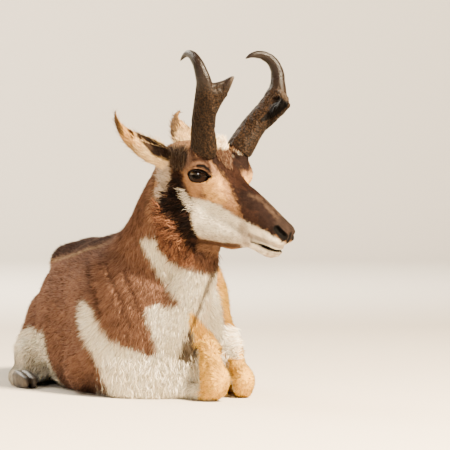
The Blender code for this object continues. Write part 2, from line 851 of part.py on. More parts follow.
def with_locks(obj, roots, rng, neighbours):
    """Joins locks of hair to a node, each root sunk below its surface and clear of the neighbours."""
    rooms = [grown(other, "Room", 2 * PARTING) for other in neighbours]
    tree = BVHTree.FromPolygons(
        [vert.co.copy() for vert in obj.data.vertices],
        [tuple(face.vertices) for face in obj.data.polygons],
    )
    for start, way, lie, length, width in roots:
        hit, normal, _, _ = tree.ray_cast(start, way)
        if hit is None:
            continue
        lie = (lie - normal * lie.dot(normal)).normalized()
        lie = (lie + lie.cross(normal) * rng.uniform(-0.25, 0.25)).normalized()
        size = length * rng.uniform(0.85, 1.15)
        lock = lock_of_hair(hit - normal * LOCK_SINK, lie, normal, size, width)
        for room in rooms:
            boolean(lock, room, "DIFFERENCE")
        boolean(obj, lock, "UNION")
        remove(lock)
    remove(*rooms)
    return largest(obj)


def mane_roots(rng):
    """Lists the roots of the short mane along the nape."""
    roots = []
    for i in range(MANE_LOCKS):
        share = (i + 0.5) / MANE_LOCKS
        side = (-1, 1, 0)[i % 3]
        y = MANE_FROM + (MANE_TO - MANE_FROM) * share
        x = 0.011 * side - 0.008 * (1 - share) + rng.uniform(-0.002, 0.002)
        lie = Vector((0.10 * side, 1.0, -0.30))
        roots.append((Vector((x, y, 0.7)), -UP, lie, MANE_LENGTH, MANE_WIDTH))
    return roots


def crown_roots(rng):
    """Lists the roots of the pale tuft between the horns."""
    roots = []
    for i in range(CROWN_LOCKS):
        share = (i + 0.5) / CROWN_LOCKS
        left = CROWN_SPREAD * math.sin(i * 2.4)
        forward = 0.118 - 0.07 * share + rng.uniform(-0.003, 0.003)
        start = on_head(forward, left, 0.2)
        lie = along_head(-1.0, 0.5 * left / CROWN_SPREAD, 0.0)
        roots.append((start, -CROWN, lie, CROWN_LENGTH, CROWN_WIDTH))
    return roots


def build():
    """Models the whole animal and parts it into its nodes."""
    for obj in list(bpy.data.objects):
        bpy.data.objects.remove(obj)
    coat = material("Coat", (0.30, 0.14, 0.07), 0.85)
    horn_look = material("Horn", (0.04, 0.03, 0.02), 0.5)
    hoof_look = material("Hoof", (0.02, 0.018, 0.016), 0.5)
    eye_look = material("Eye", (0.01, 0.008, 0.006), 0.08)

    pieces = torso_pieces() + neck_pieces() + head_pieces()
    for side in (-1, 1):
        pieces += foreleg_pieces(side)
        pieces += hindleg_pieces(side)
    whole = fused(gathered("Whole", pieces), FINE_GRAIN, 4)

    def away_from_head(place):
        reach = (place - POLL).dot(FORWARD)
        return min(1.0, max(0.0, (0.04 - reach) / 0.06)) if place.z > 0.12 else 0.2

    smoothed_where(whole, 10, 0.6, away_from_head)
    kept_side(whole, (0, 0, 0), UP)

    # the neck parts from the trunk, and then the head from the neck
    collar = Vector((0, -0.135, 0.235))
    collar_normal = Vector((0, -0.62, 1.0)).normalized()
    upper = kept_side(copy_of(whole, "Upper"), collar, collar_normal, -ROUGH_MARGIN)
    torso = largest(kept_side(whole, collar, -collar_normal, -ROUGH_MARGIN))
    head_zone = head_prism("Head zone", HEAD_OUTLINE)
    wide_zone = grown(head_zone, "Wide zone", ROUGH_MARGIN)
    narrow_zone = grown(head_zone, "Narrow zone", -ROUGH_MARGIN)
    neck_cutter = grown(head_zone, "Neck cutter", PARTING)
    head = boolean(copy_of(upper, "Head"), wide_zone, "INTERSECT")
    neck = boolean(upper, narrow_zone, "DIFFERENCE")
    head = reduced(largest(head), HEAD_TRIANGLES)
    neck = reduced(largest(neck), NECK_TRIANGLES)
    largest(boolean(head, head_zone, "INTERSECT"))
    largest(boolean(neck, neck_cutter, "DIFFERENCE"))
    largest(kept_side(neck, collar, collar_normal, PARTING / 2))
    remove(head_zone, wide_zone, narrow_zone, neck_cutter)
    torso = flattened(reduced(torso, TORSO_TRIANGLES))
    largest(kept_side(torso, collar, -collar_normal, PARTING / 2))

    shell = grown(head, "Shell", PARTING)
    neck_shell = grown(neck, "Neck shell", PARTING)
    trunk_shell = grown(torso, "Trunk shell", PARTING)
    nodes = {}
    for label, side in (("right", -1), ("left", 1)):
        nodes[f"horn_{label}"] = (horn_piece(side), horn_look)
        nodes[f"ear_{label}"] = (ear_piece(side), coat)
        for kind in ("horn", "ear"):
            piece = nodes[f"{kind}_{label}"][0]
            boolean(piece, shell, "DIFFERENCE")
            if kind == "ear":
                boolean(piece, neck_shell, "DIFFERENCE")
            largest(piece)

    tail = reduced(fused(gathered("Tail", [tail_piece()]), 0.003, 2), TAIL_TRIANGLES)
    boolean(tail, trunk_shell, "DIFFERENCE")
    nodes["tail"] = (largest(tail), coat)

    for name, (place, heading) in HOOVES.items():
        hoof = fused(gathered(name, hoof_piece(name, place, heading)), 0.0016, 2)
        kept_side(hoof, (0, 0, 0), UP)
        nodes[name] = (flattened(reduced(largest(hoof), HOOF_TRIANGLES)), hoof_look)

    for name in ("foreleg_right", "foreleg_left", "hindleg_right", "hindleg_left"):
        zone = leg_zone(f"{name} zone", zone_rows(name))
        leg = boolean(copy_of(torso, name), zone, "INTERSECT")
        wide_zone = grown(zone, "Wide zone", PARTING)
        boolean(torso, wide_zone, "DIFFERENCE")
        nodes[name] = (largest(leg), coat)
        remove(zone, wide_zone)
    largest(torso)

    for label in ("fore_right", "fore_left", "hind_right", "hind_left"):
        hoof = nodes[f"hoof_{label}"][0]
        kind, side_name = label.split("_")
        room = grown(hoof, "Room", PARTING)
        for other in (torso, nodes[f"{kind}leg_{side_name}"][0]):
            boolean(other, room, "DIFFERENCE")
            largest(other)
        remove(room)

    eye_cuts = []
    for label, side in (("right", -1), ("left", 1)):
        eye = head_ball("Eye", EYE_AT_SIDE[side], (EYE_RADIUS,) * 3, 3)
        nodes[f"eye_{label}"] = (eye, eye_look)
        socket = head_ball("Socket", EYE_AT_SIDE[side], (EYE_RADIUS + PARTING,) * 3, 3)
        boolean(head, socket, "DIFFERENCE")
        eye_cuts.append(lid_opening(side))
        boolean(head, eye_cuts[-1], "DIFFERENCE")
        remove(socket)
        nostril = nostril_cut(side)
        boolean(head, nostril, "DIFFERENCE")
        remove(nostril)
    mouth = mouth_cut()
    boolean(head, mouth, "DIFFERENCE")
    remove(mouth, shell, neck_shell, trunk_shell, *eye_cuts)
    largest(head)

    rng = random.Random(SEED)
    horns = [nodes[f"horn_{label}"][0] for label in ("right", "left")]
    with_locks(neck, mane_roots(rng), rng, [head, torso])
    with_locks(head, crown_roots(rng), rng, [neck, *horns])

    nodes["head"] = (head, coat)
    nodes["neck"] = (neck, coat)
    nodes["torso"] = (torso, coat)
    centred([obj for obj, look in nodes.values()])
    for name, (obj, look) in nodes.items():
        named(obj, name, look)


def lid_opening(side):
    """Makes the almond-shaped cutter that opens the lids over one eye."""
    centre = on_head(*EYE_AT_SIDE[side])
    gaze = along_head(0.22, side * 0.97, 0.05)
    long_way = along_head(0.95, 0.0, 0.28)
    long_way = (long_way - gaze * long_way.dot(gaze)).normalized()
    high_way = gaze.cross(long_way).normalized()
    if high_way.dot(CROWN) < 0:
        high_way = -high_way
    points = 22
    rings = []
    for depth in (0.004, 0.014, 0.024, 0.040):
        flare = 1.0 + max(0.0, depth - 0.014) * 10
        ring = []
        for i in range(points):
            angle = 2 * math.pi * i / points
            along = 0.0225 * flare * math.cos(angle)
            high = 0.0118 * math.copysign(abs(math.sin(angle)) ** 1.15, math.sin(angle))
            lean = high * 0.92 if high < 0 else high
            ring.append(centre + gaze * depth + long_way * along + high_way * lean * flare)
        rings.append(ring)
    return closed_tube("Lid opening", rings)


def nostril_cut(side):
    """Makes the comma-shaped cutter of one nostril."""
    rows = []
    for forward, left, up, size in (
        (0.290, 0.0245, -0.0050, 0.0024),
        (0.299, 0.0235, -0.0080, 0.0040),
        (0.308, 0.0185, -0.0115, 0.0044),
        (0.314, 0.0125, -0.0150, 0.0030),
    ):
        place = on_head(forward, side * left, up)
        rows.append((*place, size * 1.6, size, size, 2.0))
    return loft("Nostril", rows, rise_hint=CROWN, count=12, steps=3)


def mouth_cut():
    """Makes the thin curved cutter that parts the lips."""
    shape = bmesh.new()
    rows = []
    for forward, up, gap in (
        (0.250, -0.0440, 0.0006),
        (0.260, -0.0415, 0.0014),
        (0.272, -0.0388, 0.0022),
        (0.288, -0.0380, 0.0030),
        (0.304, -0.0400, 0.0040),
        (0.330, -0.0440, 0.0050),
    ):
        row = []
        for left, rise in ((-0.05, 1), (0.05, 1), (0.05, -1), (-0.05, -1)):
            row.append(shape.verts.new(on_head(forward, left, up + rise * gap / 2)))
        rows.append(row)
    for near, far in zip(rows, rows[1:]):
        for i in range(4):
            j = (i + 1) % 4
            shape.faces.new((near[i], near[j], far[j], far[i]))
    shape.faces.new(rows[0])
    shape.faces.new(rows[-1])
    bmesh.ops.recalc_face_normals(shape, faces=shape.faces)
    mesh = bpy.data.meshes.new("Mouth")
    shape.to_mesh(mesh)
    shape.free()
    return new_object("Mouth", mesh)


if __name__ == "__main__":
    build()
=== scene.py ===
"""Dresses the solids of a lying pronghorn with one skin, its coat, horns, hooves and eyes, in a plain studio."""

from __future__ import annotations

import itertools
import logging
import math
from collections.abc import Callable
from dataclasses import dataclass, field
from enum import Enum

import bmesh
import bpy
import numpy as np
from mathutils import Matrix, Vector
from mathutils.bvhtree import BVHTree


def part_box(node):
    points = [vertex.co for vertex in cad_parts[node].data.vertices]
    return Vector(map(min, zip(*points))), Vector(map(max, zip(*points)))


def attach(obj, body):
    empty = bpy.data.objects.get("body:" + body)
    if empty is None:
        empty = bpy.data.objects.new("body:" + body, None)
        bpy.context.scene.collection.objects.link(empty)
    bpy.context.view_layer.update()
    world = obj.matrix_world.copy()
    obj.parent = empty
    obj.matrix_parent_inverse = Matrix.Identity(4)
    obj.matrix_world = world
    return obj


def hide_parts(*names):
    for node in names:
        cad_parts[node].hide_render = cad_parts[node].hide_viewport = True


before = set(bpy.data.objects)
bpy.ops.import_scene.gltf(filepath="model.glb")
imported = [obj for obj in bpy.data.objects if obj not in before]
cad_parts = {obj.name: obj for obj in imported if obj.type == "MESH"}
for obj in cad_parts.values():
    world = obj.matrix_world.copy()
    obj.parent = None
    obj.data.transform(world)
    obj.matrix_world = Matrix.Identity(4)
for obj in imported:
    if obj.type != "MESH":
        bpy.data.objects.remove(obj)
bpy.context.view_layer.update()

LOG = logging.getLogger("pronghorn")
BODY = "root"
TINT = "Coat tint"
GLOBE_TINT = "Globe tint"
GLOBE_WET = "Wetness"
HORN_SHARE = "Horn share"
BAKE_MAP = "OFBake"


class Side(Enum):
    """The two sides of the animal."""

    RIGHT = -1
    LEFT = 1

    @property
    def word(self) -> str:
        """The side's name as the solids spell it."""
        return self.name.lower()


class Flesh(Enum):
    """The solids that the one skin replaces."""

    HEAD = "head"
    NECK = "neck"
    TORSO = "torso"
    TAIL = "tail"
    EAR_RIGHT = "ear_right"
    EAR_LEFT = "ear_left"
    FORELEG_RIGHT = "foreleg_right"
    FORELEG_LEFT = "foreleg_left"
    HINDLEG_RIGHT = "hindleg_right"
    HINDLEG_LEFT = "hindleg_left"


FLESH = tuple(Flesh)
EARS = (Flesh.EAR_RIGHT, Flesh.EAR_LEFT)
FORELEGS = (Flesh.FORELEG_RIGHT, Flesh.FORELEG_LEFT)
HINDLEGS = (Flesh.HINDLEG_RIGHT, Flesh.HINDLEG_LEFT)
HEAD_ONLY = (Flesh.HEAD,)
FRONT = (Flesh.NECK, Flesh.TORSO)


# Small helpers


def linear(colour: tuple[float, float, float]) -> np.ndarray:
    """Turns a colour of 0 to 255 as a screen shows it into linear light."""
    share = np.array(colour, float) / 255
    return np.where(share <= 0.04045, share / 12.92, ((share + 0.055) / 1.055) ** 2.4)


def eased(values: np.ndarray, low: float, high: float) -> np.ndarray:
    """Rises smoothly from 0 at low to 1 at high.

    Args:
        values: The numbers to ease.
        low: Where the rise starts.
        high: Where it ends.

    Returns:
        One share from 0 to 1 for each value.
    """
    share = np.clip((values - low) / (high - low), 0, 1)
    return share * share * (3 - 2 * share)


def unit(vectors: np.ndarray) -> np.ndarray:
    """Scales each vector to a length of 1."""
    return vectors / np.maximum(np.linalg.norm(vectors, axis=-1, keepdims=True), 1e-9)


def along_surface(vectors: np.ndarray, normals: np.ndarray) -> np.ndarray:
    """Lays each vector flat on the surface whose normal is given."""
    return unit(vectors - normals * (vectors * normals).sum(1, keepdims=True))


def ripples(points: np.ndarray, size: float, seed: int) -> np.ndarray:
    """Gives smooth random values in space.

    Args:
        points: Places in metres, one a row.
        size: The distance over which the value changes.
        seed: Which of the many patterns to use.

    Returns:
        One value from -1 to 1 for each point.
    """
    grid = points / size
    base = np.floor(grid).astype(np.int64)
    part = grid - base
    part = part * part * (3 - 2 * part)
    total = np.zeros(len(points))
    for corner in itertools.product((0, 1), repeat=3):
        key = base + np.array(corner)
        mixed = key[:, 0] * 73856093 ^ key[:, 1] * 19349663 ^ key[:, 2] * 83492791
        mixed = (mixed ^ seed * 2654435761) & 0x7FFFFFFF
        mixed = (mixed ^ (mixed >> 13)) * 1274126177 & 0x7FFFFFFF
        value = ((mixed >> 8) & 0xFFFF) / 32768 - 1
        total += value * np.where(corner, part, 1 - part).prod(1)
    return total


def depth_inside(spots: np.ndarray, outline: np.ndarray) -> np.ndarray:
    """Measures how far each spot lies inside a closed outline.

    Args:
        spots: Places in the picture, one a row.
        outline: The corners of the outline in order.

    Returns:
        Distances in pixels, below 0 outside.
    """
    nearest = np.full(len(spots), 1e9)
    inside = np.zeros(len(spots), bool)
    for start, end in zip(outline, np.roll(outline, -1, axis=0)):
        span = end - start
        share = np.clip((spots - start) @ span / max(span @ span, 1e-9), 0, 1)
        nearest = np.minimum(nearest, np.linalg.norm(spots - start - share[:, None] * span, axis=1))
        crosses = (start[1] > spots[:, 1]) != (end[1] > spots[:, 1])
        rise = span[1] if span[1] else 1e-9
        inside ^= crosses & (spots[:, 0] < start[0] + (spots[:, 1] - start[1]) / rise * span[0])
    return np.where(inside, nearest, -nearest)


def distance_to_path(spots: np.ndarray, path: np.ndarray) -> np.ndarray:
    """Measures how far each spot lies from an open path."""
    nearest = np.full(len(spots), 1e9)
    for start, end in zip(path, path[1:]):
        span = end - start
        share = np.clip((spots - start) @ span / max(span @ span, 1e-9), 0, 1)
        nearest = np.minimum(nearest, np.linalg.norm(spots - start - share[:, None] * span, axis=1))
    return nearest


def refine(obj: bpy.types.Object, centre: np.ndarray, radius: float) -> None:
    """Halves a mesh's edges near one place.

    Args:
        obj: The object whose mesh is made finer.
        centre: The middle of the place.
        radius: How far round it to go.
    """
    shape = bmesh.new()
    shape.from_mesh(obj.data)
    middle = Vector(centre)
    near = [edge for edge in shape.edges if (edge.verts[0].co - middle).length < radius]
    bmesh.ops.subdivide_edges(shape, edges=near, cuts=1, use_grid_fill=True)
    bmesh.ops.triangulate(shape, faces=[face for face in shape.faces if len(face.verts) > 3])
    shape.to_mesh(obj.data)
    shape.free()


def places_of(mesh: bpy.types.Mesh) -> np.ndarray:
    """Reads a mesh's vertex places."""
    flat = np.empty(len(mesh.vertices) * 3, np.float32)
    mesh.vertices.foreach_get("co", flat)
    return flat.reshape(-1, 3).astype(float)


def normals_of(mesh: bpy.types.Mesh) -> np.ndarray:
    """Reads a mesh's vertex normals."""
    flat = np.empty(len(mesh.vertices) * 3, np.float32)
    mesh.vertices.foreach_get("normal", flat)
    return flat.reshape(-1, 3).astype(float)


def set_places(mesh: bpy.types.Mesh, places: np.ndarray) -> None:
    """Writes a mesh's vertex places."""
    mesh.vertices.foreach_set("co", places.astype(np.float32).ravel())
    mesh.update()


def paint(mesh: bpy.types.Mesh, name: str, colours: np.ndarray) -> None:
    """Stores a linear colour on each vertex."""
    layer = mesh.color_attributes.new(name, "FLOAT_COLOR", "POINT")
    full = np.ones((len(colours), 4), np.float32)
    full[:, :3] = np.clip(colours, 0, 1)
    layer.data.foreach_set("color", full.ravel())


def smooth_shaded(mesh: bpy.types.Mesh) -> None:
    """Shades a whole mesh smoothly."""
    mesh.polygons.foreach_set("use_smooth", np.ones(len(mesh.polygons), bool))


def only(obj: bpy.types.Object) -> bpy.types.Object:
    """Selects one object alone and makes it active."""
    bpy.ops.object.select_all(action="DESELECT")
    obj.select_set(True)
    bpy.context.view_layer.objects.active = obj
    return obj


def applied(obj: bpy.types.Object, kind: str, **settings: object) -> bpy.types.Object:
    """Adds one modifier and applies it.

    Args:
        obj: The object to change.
        kind: Blender's name for the modifier's kind.
        settings: The modifier's own values.

    Returns:
        The same object.
    """
    only(obj)
    modifier = obj.modifiers.new(kind.title(), kind)
    for key, value in settings.items():
        setattr(modifier, key, value)
    bpy.ops.object.modifier_apply(modifier=modifier.name)
    return obj


def closed_copy(name: str, nodes: list[str]) -> bpy.types.Object:
    """Joins merged copies of some solids into one new object.

    Args:
        name: The new object's name.
        nodes: The solids to copy.

    Returns:
        The new object, at the origin.
    """
    copies = []
    for node in nodes:
        copy = bpy.data.objects.new(f"{name} {node}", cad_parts[node].data.copy())
        bpy.context.scene.collection.objects.link(copy)
        copies.append(copy)
    bpy.ops.object.select_all(action="DESELECT")
    for copy in copies:
        copy.select_set(True)
    bpy.context.view_layer.objects.active = copies[0]
    if len(copies) > 1:
        bpy.ops.object.join()
    joined = copies[0]
    joined.name = name
    bpy.ops.object.mode_set(mode="EDIT")
    bpy.ops.mesh.select_all(action="SELECT")
    bpy.ops.mesh.remove_doubles(threshold=1e-5)
    bpy.ops.object.mode_set(mode="OBJECT")
    return joined


def largest_only(obj: bpy.types.Object) -> bpy.types.Object:
    """Keeps a mesh's largest connected surface."""
    shape = bmesh.new()
    shape.from_mesh(obj.data)
    unseen = set(shape.verts)
    best: set = set()
    while unseen:
        start = unseen.pop()
        group = {start}
        edge_of = [start]
        while edge_of:
            vert = edge_of.pop()
            for link in vert.link_edges:
                other = link.other_vert(vert)
                if other in unseen:
                    unseen.discard(other)
                    group.add(other)
                    edge_of.append(other)
        if len(group) > len(best):
            best = group
    spare = [vert for vert in shape.verts if vert not in best]
    bmesh.ops.delete(shape, geom=spare, context="VERTS")
    shape.to_mesh(obj.data)
    shape.free()
    return obj


def spread(values: np.ndarray, edges: np.ndarray, rounds: int) -> np.ndarray:
    """Averages values over a mesh's edges.

    Args:
        values: One row for each vertex.
        edges: Pairs of vertex numbers.
        rounds: How many times to average.

    Returns:
        The softened values.
    """
    count = len(values)
    ends = np.concatenate([edges[:, 0], edges[:, 1]])
    others = np.concatenate([edges[:, 1], edges[:, 0]])
    links = np.maximum(np.bincount(ends, minlength=count), 1)[:, None]
    for _ in range(rounds):
        sums = [np.bincount(ends, weights=column[others], minlength=count) for column in values.T]
        values = 0.5 * values + 0.5 * np.stack(sums, 1) / links
    return values


# The animal's pose and the photo's view


@dataclass(frozen=True)
class HeadFrame:
    """The head's own axes: forward along the nose, to its left, and up through its crown."""

    turn: float = 30.6
    drop: float = 23.3
    design_poll: tuple[float, float, float] = (-0.02, -0.25, 0.445)
    eye: tuple[float, float, float] = (0.1145, 0.0505, 0.0225)
    globe: float = 0.0235

    @property
    def axes(self) -> np.ndarray:
        """The three axes, one a row."""
        turn = math.radians(self.turn)
        drop = math.radians(self.drop)
        forward = np.array([math.sin(turn) * math.cos(drop), -math.cos(turn) * math.cos(drop), -math.sin(drop)])
        left = unit(np.cross([0.0, 0.0, 1.0], forward))
        return np.stack([forward, left, np.cross(forward, left)])

    @property
    def poll(self) -> np.ndarray:
        """The place of the poll, found from the right eye's solid."""
        low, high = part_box("eye_right")
        middle = np.array((low + high) / 2)
        return middle - np.array([self.eye[0], -self.eye[1], self.eye[2]]) @ self.axes

    @property
    def shift(self) -> np.ndarray:
        """How far the solids were moved from the place that they were drawn at."""
        return self.poll - np.array(self.design_poll)

    def place(self, forward: float, left: float, up: float) -> np.ndarray:
        """Turns a place in the head's axes into one in the world."""
        return self.poll + np.array([forward, left, up]) @ self.axes

    def measures(self, points: np.ndarray) -> np.ndarray:
        """Turns world places into forward, left and up in the head's axes."""
        return (points - self.poll) @ self.axes.T


@dataclass(frozen=True)
class Viewpoint:
    """The photo's camera."""

    shift: np.ndarray
    azimuth: float = -22.0
    elevation: float = 1.0
    distance: float = 6.4
    scale: float = 510.0
    picture: float = 450.0
    film: float = 36.0
    design_target: tuple[float, float, float] = (0.165, -0.067, 0.3228)

    @property
    def target(self) -> np.ndarray:
        """The place at the middle of the picture."""
        return np.array(self.design_target) + self.shift

    @property
    def toward(self) -> np.ndarray:
        """The way from the target to the camera."""
        turn = math.radians(self.azimuth)
        rise = math.radians(self.elevation)
        return np.array([math.sin(turn) * math.cos(rise), -math.cos(turn) * math.cos(rise), math.sin(rise)])

    def spots(self, points: np.ndarray) -> np.ndarray:
        """Finds where world places fall in the photo.

        Args:
            points: Places in metres, one a row.

        Returns:
            Pixels across and down in the photo's own frame.
        """
        turn = math.radians(self.azimuth)
        right = np.array([math.cos(turn), math.sin(turn), 0.0])
        up = np.cross(right, -self.toward)
        offset = points - self.target
        nearness = self.scale * self.distance / (self.distance - offset @ self.toward)
        middle = self.picture / 2
        return np.stack([middle + nearness * (offset @ right), middle - nearness * (offset @ up)], 1)

    def place(self, across: float, down: float, depth: float) -> np.ndarray:
        """Finds the world place behind one pixel.

        Args:
            across: The pixel's count from the left.
            down: The pixel's count from the top.
            depth: How far the place lies from the target towards the camera, in metres.

        Returns:
            The place.
        """
        turn = math.radians(self.azimuth)
        right = np.array([math.cos(turn), math.sin(turn), 0.0])
        up = np.cross(right, -self.toward)
        step = (self.distance - depth) / (self.scale * self.distance)
        middle = self.picture / 2
        flat = (across - middle) * step * right + (middle - down) * step * up
        return self.target + flat + depth * self.toward

    def build(self) -> bpy.types.Object:
        """Adds the camera and makes it the scene's own."""
        data = bpy.data.cameras.new("Camera")
        data.sensor_width = self.film
        data.sensor_height = self.film
        data.lens = self.scale * self.distance / self.picture * self.film
        camera = bpy.data.objects.new("Camera", data)
        bpy.context.scene.collection.objects.link(camera)
        camera.location = Vector(self.target + self.toward * self.distance)
        camera.rotation_euler = Vector(self.toward).to_track_quat("Z", "Y").to_euler()
        bpy.context.scene.camera = camera
        return camera


@dataclass(frozen=True)
class Symmetry:
    """Finds the place on the animal's right that matches a place on its left."""

    head: HeadFrame
    spine_bend: float = 0.45
    bend_start: float = 0.08
    neck_levels: tuple[float, ...] = (0.14, 0.176, 0.278, 0.36, 0.43)
    neck_turns: tuple[float, ...] = (-1.0, 2.5, 12.3, 23.0, 28.0)
    keel_levels: tuple[float, ...] = (0.0, 0.09, 0.14, 0.176, 0.278)
    keel_places: tuple[float, ...] = (-0.022, -0.018, -0.005, 0.010, 0.0387)

    def to_right(self, points: np.ndarray, shares: np.ndarray) -> np.ndarray:
        """Mirrors what lies on the left side across the animal's own middle.

        Args:
            points: Places in metres, one a row.
            shares: For each point, its share in each of the flesh solids.

        Returns:
            Places on the right side or the middle.
        """
        drawn = points - self.head.shift
        of_head = shares[:, [FLESH.index(part) for part in (Flesh.HEAD, *EARS)]].sum(1)
        of_neck = shares[:, FLESH.index(Flesh.NECK)]
        of_trunk = np.clip(1 - of_head - of_neck, 0, 1)
        level = drawn[:, 2]
        turn = of_head * self.head.turn + of_neck * np.interp(level, self.neck_levels, self.neck_turns)
        turn = np.radians(turn)
        normal = np.stack([np.cos(turn), np.sin(turn), np.zeros(len(turn))], 1)
        climb = np.clip((level - 0.17) / 0.245, 0, 1)
        neck_line = np.stack([-0.005 - 0.007 * climb, 0.02 - 0.295 * climb, level], 1)
        sway = self.spine_bend * np.maximum(0, drawn[:, 1] - self.bend_start) ** 2
        lean = np.interp(level, self.keel_levels, self.keel_places) * np.clip((-0.05 - drawn[:, 1]) / 0.27, 0, 1)
        trunk_line = np.stack([sway + lean, drawn[:, 1], level], 1)
        middle = of_head[:, None] * np.array(self.head.design_poll)
        middle = middle + of_neck[:, None] * neck_line + of_trunk[:, None] * trunk_line
        reach = np.maximum(0, ((drawn - middle) * normal).sum(1))
        return points - 2 * reach[:, None] * normal


# Colours of the coat


@dataclass(frozen=True)
class Mark:
    """One patch of the coat's colour, outlined in the photo's pixels.

    A mirrored mark is on the animal's right and repeats on its left. Another one lies only where the photo shows
    it. A mark ends where the trunk passes rear, in metres behind the shoulders.
    """

    name: str
    colour: tuple[float, float, float]
    outline: tuple[tuple[float, float], ...]
    parts: tuple[Flesh, ...]
    softness: float = 2.0
    raggedness: float = 2.0
    strength: float = 1.0
    mirrored: bool = True
    rear: float = 0.10


@dataclass(frozen=True)
class Line:
    """One narrow stripe of the coat's colour along a path in the photo's pixels."""

    name: str
    colour: tuple[float, float, float]
    path: tuple[tuple[float, float], ...]
    parts: tuple[Flesh, ...]
    width: float
    strength: float = 1.0
    mirrored: bool = True
    rear: float = 0.10


RUSSET = (120, 88, 72)
DARK_RUSSET = (60, 39, 30)
LIT_RUSSET = (128, 90, 70)
WHITE = (248, 236, 214)
BUFF = (238, 182, 80)
PALE_BUFF = (226, 192, 140)
UMBER = (34, 23, 20)
MAROON = (46, 26, 19)
SOOT = (24, 16, 14)
CREAM = (208, 160, 98)
TAN = (156, 116, 82)
TAN_BROWN = (110, 82, 65)
GREY_WHITE = (190, 174, 154)
GREY_BROWN = (74, 58, 48)
NOSE_GREY = (44, 34, 30)
DEEP_BROWN = (44, 27, 20)
INK = (10, 8, 8)

